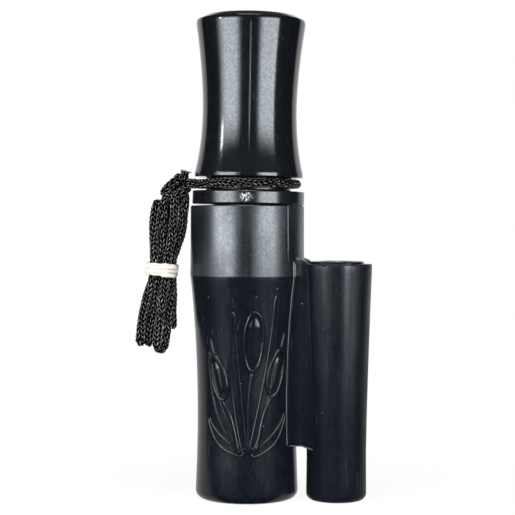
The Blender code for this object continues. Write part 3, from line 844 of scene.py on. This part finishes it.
def relief_shapes():
    """A generic clump of bulrushes in raised outline on the front of the barrel."""
    shapes = []
    rushes = [
        ((0.6, 14.0), (0.6, 27.0), (1.6, 37.0), 2.7, 8.2, 0.05),
        ((3.0, 14.6), (5.0, 24.0), (7.4, 30.0), 2.4, 6.6, 0.24),
        ((-2.4, 14.6), (-4.6, 23.5), (-7.2, 29.0), 2.3, 6.2, -0.24),
    ]
    for foot, middle, top, half_width, half_height, lean in rushes:
        up = np.array((sin(lean), cos(lean)))
        centre, neck = top + half_height * up, top + 2 * half_height * up
        inner = [centre + reach * up for reach in (1.6 - half_height, 0.0, half_height - 1.6)]
        shapes += [
            stroke([foot, middle, top], 1.1, 0.5),
            stroke(oval(centre, half_width, half_height, lean), 1.0, 0.52, closed=True),
            stroke(inner, 2 * half_width - 2.2, 0.45),
            stroke([neck, neck + 5.0 * up], 0.8, 0.42),
        ]
    leaves = [
        ((-1.4, 14.0), (-12.2, 24.0), -1.8, 2.4),
        ((1.8, 13.8), (12.2, 25.0), 1.8, 2.4),
        ((-1.0, 16.0), (-3.4, 53.5), -1.2, 2.6),
        ((1.8, 16.0), (7.6, 58.0), 2.2, 2.5),
        ((-2.0, 15.0), (-11.0, 42.5), -2.8, 2.2),
    ]
    for root, tip, bow, width in leaves:
        shapes.append(stroke(leaf(root, tip, bow, width), 0.75, 0.42, closed=True))
    return shapes


def make_barrel(paint):
    angles = ring_angles(300, (47.0, 7.0, 0.25), (1.0, 5.0, 0.5))
    body = ring(BARREL_X, filleted(BARREL), angles, barrel_shift)
    side = ring(SIDE_X, filleted(SIDE_TUBE), ring_angles(240, (-25.0, 6.0, 0.75)), side_shift)
    plain = [body, side, make_web_shape(), *contact_beads(), *relief_shapes()]
    # The lines along the web's edges get 1 in the edge attribute, which paints them pale as a highlight.
    scratch_wear_and_painted_highlight = painted_highlight_edges()
    counts = [sum(len(points) for points, faces in group) for group in (plain, scratch_wear_and_painted_highlight)]
    values = np.repeat((0.0, 1.0), counts)
    made = build("barrel_moulding", plain + scratch_wear_and_painted_highlight, paint, 32.0, ("edge", values))
    return finish_piece(made, "barrel", "barrel_plastic", "barrel")


# ------------------------------------------------------------------------------------ the insert


def insert_outline():
    waist, base_top = (BELL_WAIST_RADIUS, BELL_WAIST_HEIGHT), BELL_BASE_HEIGHT + 1.0
    grooves = []
    for height in SEAL_HEIGHTS:
        top, bottom = height + SEAL_HALF_HEIGHT, height - SEAL_HALF_HEIGHT
        grooves += [(TENON_RADIUS, top, 0.1), (SEAL_FLOOR_RADIUS, top, 0)]
        grooves += [(SEAL_FLOOR_RADIUS, bottom, 0), (TENON_RADIUS, bottom, 0.1)]
    return [
        (11.0, OVERALL_HEIGHT, 0.25), (BELL_RIM_RADIUS, OVERALL_HEIGHT, 0.3),
        (BELL_LIP_RADIUS - 0.1, BELL_LIP_HEIGHT + 1.1, 0.3),
        *flare(waist, (BELL_LIP_RADIUS, BELL_LIP_HEIGHT), 1.66, 36)[::-1],
        *flare(waist, (BELL_BASE_RADIUS, base_top), 2.23, 30)[1:],
        (BELL_BASE_RADIUS + 0.01, base_top - 0.1, 0), (BELL_BASE_RADIUS + 0.01, BELL_BASE_HEIGHT, 0.16),
        (GROOVE_RADIUS, BELL_BASE_HEIGHT, 0.5), (GROOVE_RADIUS, FLANGE_TOP, 0.5),
        (FLANGE_RADIUS, FLANGE_TOP, 0.4), (FLANGE_RADIUS, FLANGE_BOTTOM, 0.35),
        (TENON_RADIUS, FLANGE_BOTTOM, 0.2), *grooves,
        (TENON_RADIUS, TENON_BOTTOM + 1.0, 0.3), (TENON_RADIUS - 0.6, TENON_BOTTOM, 0.2),
        (BOARD_SOCKET_RADIUS, TENON_BOTTOM, 0.2), (BOARD_SOCKET_RADIUS, BOARD_SOCKET_TOP, 0),
        (5.0, BOARD_SOCKET_TOP, 0.2), (5.0, 84.0, 0.8), (6.9, 104.0, 3.0), (8.6, 121.0, 3.0),
        (10.4, OVERALL_HEIGHT - 0.6, 0.2),
    ]


def gate_place():
    """The middle of the gate mark on the tilted flange, in metres."""
    drift = (GATE_HEIGHT - INSERT_TILT_HEIGHT) * tan(radians(INSERT_TILT))
    middle = np.array((BARREL_X, 0.0, GATE_HEIGHT))
    spot = middle + TOWARDS * FLANGE_RADIUS + ACROSS * (GATE_ASIDE + drift)
    return tuple(float(value) for value in spot * MM)


def insert_shift(r, z, angle):
    """The mould line down the front of the bell, and the rough gate mark on the flange."""
    degrees = signed_degrees(angle)
    bell = (r > BELL_WAIST_RADIUS - 0.1) & (z > BELL_BASE_HEIGHT + 1.5) & (z < BELL_LIP_HEIGHT - 0.5)
    line = 0.045 * hump(degrees * 0.235, 0.16) * bell
    back = 0.03 * hump((np.abs(degrees) - 180.0) * 0.235, 0.12) * bell
    flange = (r > FLANGE_RADIUS - 0.6) & (z < FLANGE_TOP) & (z > FLANGE_BOTTOM)
    aside, above = degrees * 0.2775 - GATE_ASIDE, z - GATE_HEIGHT
    turn = np.arctan2(above, aside)
    rough = 1 + 0.8 * np.sin(6.5 * aside + 0.6) * np.sin(6 * above + 0.4) + 0.3 * np.cos(3 * turn)
    gate = 0.27 * hump(np.hypot(aside, above * 1.1), 1.2) * rough
    ripple = 0.006 * np.sin(6 * angle + 0.11 * z) * (r > BELL_WAIST_RADIUS - 0.1)
    return line + back + gate * flange + ripple, 0.0


def make_insert(paint):
    outline = filleted(insert_outline())
    dense = []
    for here, after in zip(outline, np.roll(outline, -1, 0)):
        dense.append(here)
        on_flange = here[0] > FLANGE_RADIUS - 0.05 and after[0] > FLANGE_RADIUS - 0.05
        if on_flange and abs(here[1] - after[1]) > 1.0:
            dense += [here + (after - here) * k / 16 for k in range(1, 16)]
    angles = ring_angles(288, (0.0, 1.6, 0.14), (-2.2, 6.0, 0.4), (180.0, 1.2, 0.3))
    made = build("insert_bell", [ring(BARREL_X, np.array(dense), angles, insert_shift)], paint)
    pivot = Matrix.Translation((BARREL_X * MM, 0.0, INSERT_TILT_HEIGHT * MM))
    lean = Matrix.Rotation(radians(-INSERT_TILT), 4, TOWARDS)
    sink = Matrix.Translation((0.0, 0.0, -INSERT_SINK * MM))
    made.data.transform(sink @ pivot @ lean @ pivot.inverted())
    return finish_piece(made, "insert", "insert_plastic", "insert")


# ------------------------------------------------------------------------------ the inside pieces


def sized(name):
    low, high = (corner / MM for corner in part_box(name))
    return low, high, (low + high) / 2


def make_seal(name, body, paint):
    low, high, centre = sized(name)
    section = (high.z - low.z) / 2
    middle = (high.x - low.x) / 2 - section
    turn = np.radians(np.arange(0, 360, 15))
    profile = np.stack((middle + section * np.cos(turn), centre.z + section * np.sin(turn)), -1)
    flash = 0.05 * np.array([hump(remainder(a, pi), 0.12) for a in turn])
    profile[:, 0] += flash * np.sign(np.cos(turn)) * 0.5
    made = build("moulded_" + name, [ring(centre.x, profile, ring_angles(120))], paint)
    finish_piece(made, body, "seal_rubber", name)


def make_reed(name, paint):
    """A film reed with its two tip corners clipped round and a small locating notch at its root.
    It is a body of its own, under the same name."""
    low, high, centre = sized(name)
    half, corner = (high.x - low.x) / 2, 2.2
    loop = [(-0.9, high.z), (-0.5, high.z - 0.7), (0.5, high.z - 0.7), (0.9, high.z), (half, high.z)]
    loop += arc(half - corner, low.z + corner, corner, 0, -90, 8)
    loop += arc(corner - half, low.z + corner, corner, -90, -180, 8)
    loop.append((-half, high.z))
    shape = prism([(centre.x + a, b) for a, b in loop], low.y, high.y, (0, 2, 1))
    finish_piece(build("film_" + name, [shape], paint), name, "reed_film", name)


def make_wedge(name, body, paint):
    """A cork wedge, thinner at its inner end, with its edges crushed a little."""
    low, high = sized(name)[:2]
    taper = 0.5
    loop = [(high.y, low.z), (low.y, low.z), (low.y + taper, high.z), (high.y, high.z)]
    made = build("cork_" + name, [prism(loop, low.x, high.x, (1, 2, 0))], paint)
    edit = bmesh.new()
    edit.from_mesh(made.data)
    bmesh.ops.bevel(edit, geom=edit.edges[:], offset=0.25 * MM, segments=3, affect="EDGES")
    edit.to_mesh(made.data)
    edit.free()
    made.data.shade_smooth()
    finish_piece(made, body, "wedge_cork", name)


def board_cutters(x, radius, tip, base_bottom, top, slot_top, slot_half_width, slot_depth):
    """The sloped face, wedge slot, air channel and air bore of a tone board."""
    points, faces = block((x - radius - 2, -radius - 2, tip - 5), (x + radius + 2, 0, base_bottom))
    slope = np.array(Matrix.Rotation(radians(BOARD_SLOPE), 3, "X"))
    hinge = np.array((x, 0.0, base_bottom))
    face = (points - hinge) @ slope.T + hinge, faces
    slot = block((x - slot_half_width, -slot_depth, base_bottom - 2), (x + slot_half_width, 0, slot_top))
    half, depth = 0.36 * radius, 0.58 * radius
    section = [(x - half, -1.0), (x + half, -1.0), *arc(x, depth - half, half, 0, 180, 10)]
    channel = prism(section, tip + 1.6, slot_top - 3.0, (0, 1, 2))
    bore, low, high = 0.38 * radius, base_bottom + 1.5, top + 3.5
    points, faces = lathe(x, [(0, low), (bore, low), (bore, high), (0, high)], 48)
    points[:, 1] += 0.26 * radius
    return [face, slot, channel, (points, faces)]


def make_tone_board(paint):
    low, high, centre = sized("tone_board")
    radius = (high.x - low.x) / 2
    blank = [
        (0, high.z), (radius - 0.5, high.z), (radius, high.z - 0.5),
        (radius, low.z + 1.0), (radius - 1.0, low.z), (0, low.z),
    ]
    cutters = board_cutters(centre.x, radius, low.z, 58.2, high.z, 67.0, 5.2, 4.3)
    made = carved("tone_board_trough", lathe(centre.x, blank, 120), cutters, paint)
    finish_piece(made, "tone_board", "tone_board_plastic", "tone_board")


def make_side_insert(paint):
    low, high, centre = sized("side_insert")
    head, shoulder, tenon, floor, board = 7.7, SIDE_HEIGHT - SIDE_RIM_DEPTH + 0.3, 6.6, 4.95, 4.4
    blank = [(0, high.z), (head - 0.7, high.z), (head - 0.2, high.z - 0.15), (head, high.z - 0.5)]
    blank += [(head, shoulder), (tenon, shoulder), (tenon, 58.1), (floor, 58.1), (floor, 55.9)]
    blank += [(tenon, 55.9), (tenon, 46.3), (tenon - 0.3, 46.0), (board, 46.0)]
    blank += [(board, low.z + 0.8), (board - 0.8, low.z), (0, low.z)]
    throat = [(0, high.z + 2), (5.1, high.z + 2), (4.7, high.z), (4.4, high.z - 0.4)]
    throat += [(4.1, high.z - 2.5), (3.0, high.z - 7), (3.0, 53.4), (0, 53.4)]
    cutters = board_cutters(centre.x, board, low.z, 46.2, 54.0, 52.0, 3.5, 3.0)
    cutters.append(lathe(centre.x, throat, 64))
    made = carved("side_insert_ring", lathe(centre.x, blank, 120), cutters, paint)
    finish_piece(made, "side_insert", "insert_plastic", "side_insert")


# ------------------------------------------------------------------------------------- the cord


def lanyard_place(points):
    """Points (u, v, z) of the lanyard as X, Y and Z."""
    u, v, z = np.asarray(points, float).T
    x, y = turned(u, v, LANYARD_DIRECTION)
    return np.stack((BARREL_X + x, y, z), -1)


# Where each column of the hank runs, as (height, u) from its top to its bottom
COLUMNS = {
    "a": (
        (83.5, 25.4), (78.7, 26.2), (73.4, 26.5), (67.4, 26.4), (62.2, 26.8), (56.6, 28.5),
        (50.9, 29.4), (43.0, 30.4),
    ),
    "b": (
        (85.9, 22.9), (82.1, 23.4), (76.8, 23.8), (71.8, 24.0), (67.4, 24.3), (62.2, 24.8),
        (54.7, 26.4), (49.0, 27.2), (43.0, 28.0),
    ),
    "c": (
        (85.0, 20.4), (79.4, 21.0), (74.9, 21.5), (70.3, 22.1), (67.4, 22.6), (62.2, 23.0),
        (56.6, 23.7), (50.9, 24.8), (45.2, 25.8), (41.0, 25.9),
    ),
    "d": (
        (85.0, 17.9), (79.4, 18.2), (74.9, 19.0), (71.1, 20.4), (67.4, 21.75), (62.2, 21.8),
        (56.6, 22.1), (50.9, 22.4), (45.2, 23.0), (41.0, 23.4),
    ),
    "e": (
        (85.0, 18.1), (79.4, 18.4), (74.9, 19.1), (71.1, 20.3), (67.4, 21.5), (62.2, 21.5),
        (56.6, 21.3), (50.9, 21.3), (41.0, 21.6),
    ),
}
PASS_LEVELS = (79.0, 74.5, 70.5, 67.2, 62.4, 57.0, 51.5, 47.0)
LAYERS = {"front": 1, "middle": 0, "back": -1}
# Each pass of the hank: its column, its layer, its top and its bottom. Passes run down and up in turn.
PASSES = [
    ("d", "front", 85.2, 43.4), ("c", "front", 84.4, 43.4),
    ("b", "front", 84.8, 45.2), ("b", "middle", 80.6, 45.2),
    ("a", "middle", 80.4, 45.4), ("a", "front", 82.4, 45.4),
    ("a", "back", 82.4, 46.4), ("b", "back", 83.6, 46.4),
    ("c", "back", 83.8, 45.6), ("c", "middle", 83.4, 45.6),
    ("e", "middle", 83.4, 50.0), ("e", "back", 84.4, 50.0),
]


def pass_points(index, column, layer, top, bottom):
    """One pass of the hank from its top to its bottom, as (u, v, z) waypoints."""
    heights, across = np.array(sorted(COLUMNS[column])).T
    points = []
    for z in (top, *(z for z in PASS_LEVELS if bottom + 2 < z < top - 2), bottom):
        held = exp(-(((z - BAND_CENTRE[1]) / 5.5) ** 2))
        pitch = 2.75 - 0.25 * held
        stagger = -1.25 * held if column in "bde" else 0.0
        sway = 0.32 * sin(z / 5.0 + 2.1 * index) * (1 - held)
        u = float(np.interp(z, heights, across)) + sway
        depth = (0.6 if column in "ac" else -0.6) * (1 - held)
        points.append((u, pitch * LAYERS[layer] + stagger + 0.6 * held + depth, z))
    return points


def cord_waypoints():
    """The cord from its cut tail, round the groove, through the knot and along the hank's passes."""
    loop = arc(0.0, 0.0, LOOP_RADIUS, LOOP_OPENING, 360 - LOOP_OPENING, 36)
    way = [
        (17.7, 0.6, 92.9), (17.9, 0.4, 91.4), (18.5, 0.0, 89.7), (18.7, -0.4, 88.2), (17.8, 0.3, 87.4),
        (17.1, 1.7, 88.1), (16.8, 2.6, 89.2), (15.5, 3.2, 89.35),
        *((u, v, LOOP_HEIGHT) for u, v in loop),
        (15.2, -3.1, 89.1), (16.8, -2.8, 89.5), (18.5, -2.0, 90.6), (19.6, -0.4, 91.1),
        (19.9, 1.8, 90.4), (21.2, 2.9, 89.3), (22.7, 2.7, 87.9), (23.6, 1.1, 86.8), (23.3, -1.4, 86.6),
        (21.2, -2.8, 87.4), (18.8, -2.6, 88.3), (17.35, -1.4, 88.25), (17.15, 1.2, 87.6),
        (18.2, 2.9, 86.9), (20.1, 3.1, 86.0), (21.5, 1.6, 85.2), (21.0, -0.6, 85.2), (19.3, -0.2, 86.2),
    ]
    for index, (column, layer, top, bottom) in enumerate(PASSES):
        points = pass_points(index, column, layer, top, bottom)
        if index % 2:
            points = points[::-1]
        if index:
            before, after = np.array(way[-1]), np.array(points[0])
            drop = -1.25 if index % 2 else 1.25
            way.append((before + after) / 2 + (0.0, 0.0, drop))
        way += points
    return way + [(19.6, -1.2, 87.0), (20.8, 0.2, 88.4)]


def braid(along, angle):
    """Height from 0 to 1 of the braid's surface, whose columns are rows of slanted stitches."""
    across = (angle / (2 * pi) * BRAID_COLUMNS) % 1.0
    slope = np.abs(2 * across - 1)
    stitch = 0.5 + 0.5 * np.cos(2 * pi * (along / BRAID_STITCH + BRAID_SLANT * slope))
    seam = 1 - 0.75 * np.abs(2 * slope - 1) ** 3
    return stitch**0.7 * seam


def make_cord(paint):
    path = lanyard_place(smooth_path(cord_waypoints(), CORD_STEP, blur=3))
    along = distances(path)
    angles = 2 * pi * np.arange(CORD_SIDES) / CORD_SIDES
    roll = BRAID_TWIST * along + sum(size * np.sin(along / reach) for size, reach in BRAID_WANDER)
    ridge = braid(along[:, None], (angles[None, :] + roll[:, None]) % (2 * pi))
    radii = CORD_DIAMETER / 2 - 0.40 + BRAID_DEPTH * ridge
    radii[0] *= 0.8
    radii[-1] *= 0.8
    made = build("lanyard_cord", [tube(path, radii, CORD_SIDES)], paint, 60.0, ("ridge", ridge.ravel()))
    finish_piece(made, "lanyard", "lanyard_cord", "lanyard_loop", "lanyard_knot", "lanyard_hank")
    return made, path, along[-1]


def make_fray(paint, path):
    """Loose fibres at the cut end of the cord."""
    chance = random.Random(7)
    tip, inward = path[0], unit(path[6] - path[0])
    shapes = []
    for _ in range(34):
        spread = np.array([chance.gauss(0, 1) for _ in range(3)])
        spread -= inward * spread.dot(inward)
        spread = unit(spread) * chance.uniform(0.1, 1.15)
        reach = chance.uniform(0.35, 1.0)
        bend = spread * chance.uniform(0.3, 0.8) - inward * reach
        start = tip + inward * 0.5 + spread
        fibre = np.array([start, start + bend * 0.55, start + bend * 0.8 + spread * 0.1])
        shapes.append(tube(fibre, 0.10, 6))
    count = sum(len(points) for points, faces in shapes)
    # The fibres take a ridge of 0.75, which gives them part of the cord's painted highlight colour.
    made = build("lanyard_fray", shapes, paint, 60.0, ("ridge", np.full(count, 0.75)))
    return finish_piece(made, "lanyard", "lanyard_cord")


def band_loop():
    """The band's way round the hank, as (u, v, out u, out v) in its own flat frame."""
    corner, rows = 2.0, []
    for side_u, side_v, start in ((1, 1, 0), (-1, 1, 90), (-1, -1, 180), (1, -1, 270)):
        for out_u, out_v in arc(0.0, 0.0, 1.0, start, start + 90, 14):
            u = side_u * (BAND_HALF_WIDTH - corner) + corner * out_u
            v = side_v * (BAND_HALF_DEPTH - corner) + corner * out_v
            rows.append((u, v, out_u, out_v))
    return resampled(np.array(rows + rows[:1]), 0.2)[:-1]


def band_place(points):
    """Points (u, v, z) of the band's own frame, slanted and moved to the hank."""
    u, z = turned(points[:, 0], points[:, 2], radians(BAND_SLANT))
    return lanyard_place(np.stack((u + BAND_CENTRE[0], points[:, 1], z + BAND_CENTRE[1]), -1))


def make_band(paint):
    """A rubber band in a few crossing turns, with a flat lip standing out at the right."""
    loop = band_loop()
    turn = 2 * pi * np.arange(len(loop)) / len(loop)
    w = np.linspace(-1, 1, 30)[:, None]
    lanes = 1.6 * (w + 1) + 0.34 * np.sin(turn + 0.6) + 0.16 * np.sin(3 * turn)
    crown = np.abs(np.sin(pi * lanes)) ** 0.6
    crease = 0.05 * np.sin(9 * turn + 4 * w) + 0.04 * np.sin(17 * turn - 3 * w)
    out = 0.16 + (0.42 * crown + crease) * np.sqrt(1 - w**6)
    rise = BAND_HALF_HEIGHT * w * (1 + 0.06 * np.sin(4 * turn + 2) + 0.05 * np.sin(11 * turn))
    outside = np.dstack((loop[:, :2] + out[..., None] * loop[:, 2:], rise))
    inside = outside[::-1].copy()
    inside[..., :2] = loop[:, :2]
    rows = np.concatenate((outside, inside))
    band = band_place(rows.reshape(-1, 3)), grid_faces(len(rows), len(loop), wrap_rows=True)
    tab = smooth_path([(-2.5, 5.0, -0.3), (-3.8, 4.9, -0.1), (-4.6, 4.5, 0.25), (-5.0, 4.1, 0.6)], 0.2)
    widths = np.linspace(0.42, 0.14, len(tab))[:, None] + np.zeros((1, 12))
    loose_points, loose_faces = tube(tab, widths, 12, squash=2.4)
    loose = band_place(loose_points), loose_faces
    # The heights of the turns go to the band's attribute that paints shade into the creases between
    # them.
    values = np.concatenate((crown.ravel(), crown[::-1].ravel(), np.full(len(loose_points), 0.45)))
    made = build("lanyard_rubber_band", [band, loose], paint, 70.0, ("crease_shade", values))
    return finish_piece(made, "lanyard", "band_rubber", "lanyard_band")


# -------------------------------------------------------------------------- the camera and studio


def make_camera():
    data = bpy.data.cameras.new("camera")
    data.lens = CAMERA_LENS
    data.sensor_width = SENSOR_WIDTH
    data.clip_start = 0.01
    camera = placed("camera", data)
    aim = np.array((BARREL_X, 0.0, CAMERA_HEIGHT))
    place = aim + ACROSS * CAMERA_SIDESTEP + TOWARDS * CAMERA_DISTANCE
    camera.matrix_world = (
        Matrix.Translation(place * MM)
        @ Matrix.Rotation(CAMERA_TURN, 4, "Z")
        @ Matrix.Rotation(radians(90 + CAMERA_PITCH), 4, "X")
        @ Matrix.Rotation(radians(CAMERA_ROLL), 4, "Z")
    )
    bpy.context.scene.camera = camera


def emitter(name, strength, colour=(1.0, 1.0, 1.0)):
    made = bpy.data.materials.new(name)
    made.use_nodes = True
    tree = made.node_tree
    tree.nodes.remove(tree.nodes["Principled BSDF"])
    light = node("Emission", {"Strength": strength, "Color": (*colour, 1.0)}, tree)
    feed(tree.nodes["Material Output"], {"Surface": light.outputs["Emission"]})
    return made, light


def panel_material(name, fade_in, fade_out):
    """A light panel that fades at its top, its bottom and, over these shares, its two sides."""
    made, light = emitter(name, 0.0, PANEL_COLOUR)
    place = node("TexCoord", {}, made.node_tree).outputs["Object"]
    height = node("SeparateXYZ", {"Vector": place}).outputs["Z"]
    across = attribute(place, "across")
    low, high = (level * MM for level in PANEL_HEIGHTS)
    upright = times(ranged(height, high, high - 0.105), ranged(height, low, low + 0.03))
    sideways = times(ranged(across, 0.0, fade_in), ranged(across, 1.0, 1.0 - fade_out))
    feed(light, {"Strength": times(upright, sideways, PANEL_STRENGTH)})
    return made


def curved_patch(distance, angles, heights):
    """Part of an upright cylinder round the barrel, with its angles in degrees."""
    points = on_ring(BARREL_X, distance, np.radians(angles)[None, :], heights[:, None])
    return points, grid_faces(len(heights), len(angles), wrap_columns=False)


def make_panels():
    """Two tall soft lights, one to each side of the camera, that show as the two bright bands."""
    share = np.linspace(0, 1, 25)
    heights = np.linspace(*PANEL_HEIGHTS, 13)
    for name, inner, outer, fade_in, fade_out in PANELS:
        shape = curved_patch(PANEL_DISTANCE, inner + (outer - inner) * share, heights)
        paint = panel_material("panel_light_" + name, fade_in, fade_out)
        across = ("across", np.tile(share, len(heights)))
        made = build("panel_" + name, [shape], paint, 180.0, across)
        made.visible_camera = False


def make_lamp():
    """A small bulb to the left, which leaves the short bright mark low on the bell."""
    angles, heights = np.linspace(*LAMP_ANGLES, 4), np.linspace(*LAMP_HEIGHTS, 4)
    shape = curved_patch(PANEL_DISTANCE - 15.0, angles, heights)
    made = build("lamp", [shape], emitter("lamp_light", LAMP_STRENGTH)[0])
    made.visible_camera = False
    made.visible_diffuse = False


def make_table_glow():
    """The bright table behind and beside the call, which only its reflections see."""
    corners = [(420.0, -160.0), (60.0, 12.0), (-60.0, 12.0)]
    corners += [(-420.0, -160.0), (-420.0, -500.0), (420.0, -500.0)]
    middle = np.array((BARREL_X, 0.0, -0.04))
    points = np.array([middle + ACROSS * right + TOWARDS * front for right, front in corners])
    shape = points, [tuple(range(len(corners)))]
    made = build("table_glow", [shape], emitter("table_light", TABLE_STRENGTH)[0])
    made.visible_camera = False
    made.visible_diffuse = False
    made.visible_shadow = False


def make_overhead():
    data = bpy.data.lights.new("overhead", "AREA")
    data.shape = "SQUARE"
    data.size = 0.5
    data.energy = 8.0
    light = placed("overhead", data)
    light.location = (0.0, -0.38, 0.95)
    light.visible_camera = False


def make_floor():
    radii = np.array((0.0, 60.0, 120.0, 240.0, 480.0, 960.0, 1500.0))
    angles = ring_angles(64)
    points = on_ring(0.0, radii[:, None], angles[None, :], -0.02)
    floor = build("floor", [(points, grid_faces(len(radii), 64))], floor_material(), 180.0)
    floor.visible_glossy = False


def make_world():
    """White all round to the camera, and behind the call to its reflections. The rest is dark."""
    world = bpy.data.worlds.new("studio")
    bpy.context.scene.world = world
    world.use_nodes = True
    tree = world.node_tree
    tree.nodes.clear()
    direction = node("TexCoord", {}, tree).outputs["Generated"]
    rise = node("SeparateXYZ", {"Vector": direction}).outputs["Z"]
    away = {0: direction, 1: tuple(-TOWARDS)}
    behind = node("VectorMath", away, operation="DOT_PRODUCT").outputs["Value"]
    edge = cos(radians(BACKDROP_HALF_ANGLE))
    low = ranged(rise, *BACKDROP_FADE)
    backdrop = times(ranged(behind, edge - 0.02, edge + 0.02), low)
    ceiling = times(ranged(rise, *CEILING_FADE), ranged(behind, 0.2, -0.2))
    seen = node("LightPath", {}, tree).outputs["Is Camera Ray"]
    strength = highest(backdrop, ceiling, seen)
    back = node("Background", {"Color": (1.0, 1.0, 1.0, 1.0), "Strength": strength})
    output = node("OutputWorld", {"Surface": back.outputs["Background"]})
    tree.nodes.active = output


BARREL = barrel_outline()
SIDE_TUBE = side_tube_outline()

bpy.context.scene.view_settings.view_transform = "Standard"
make_camera()
make_world()
make_floor()
make_panels()
make_lamp()
make_table_glow()
make_overhead()

cord_paint = cord_material()
cord, cord_path, cord_length = make_cord(cord_paint)
fray = make_fray(cord_paint, cord_path)
band = make_band(band_material())

make_barrel(black_plastic("barrel_plastic", BARREL_COLOUR, barrel_finish, 0.09, 0.16, ior=1.62))
gate = (gate_place(), GATE_REACH)
insert_paint = black_plastic("insert_plastic", INSERT_COLOUR, insert_finish, 0.10, 0.12, torn=gate)
make_insert(insert_paint)
make_side_insert(insert_paint)
make_tone_board(black_plastic("tone_board_plastic", BOARD_COLOUR, 0.34, 0.25))
seal_paint = rubber_material()
for seal in ("tenon_o_ring_upper", "tenon_o_ring_lower"):
    make_seal(seal, "seals", seal_paint)
make_seal("side_o_ring", "side_insert", seal_paint)
film_paint = film_material()
for reed in ("lower_reed", "upper_reed", "side_reed"):
    make_reed(reed, film_paint)
cork_paint = cork_material()
make_wedge("reed_wedge", "tone_board", cork_paint)
make_wedge("side_reed_wedge", "side_insert", cork_paint)
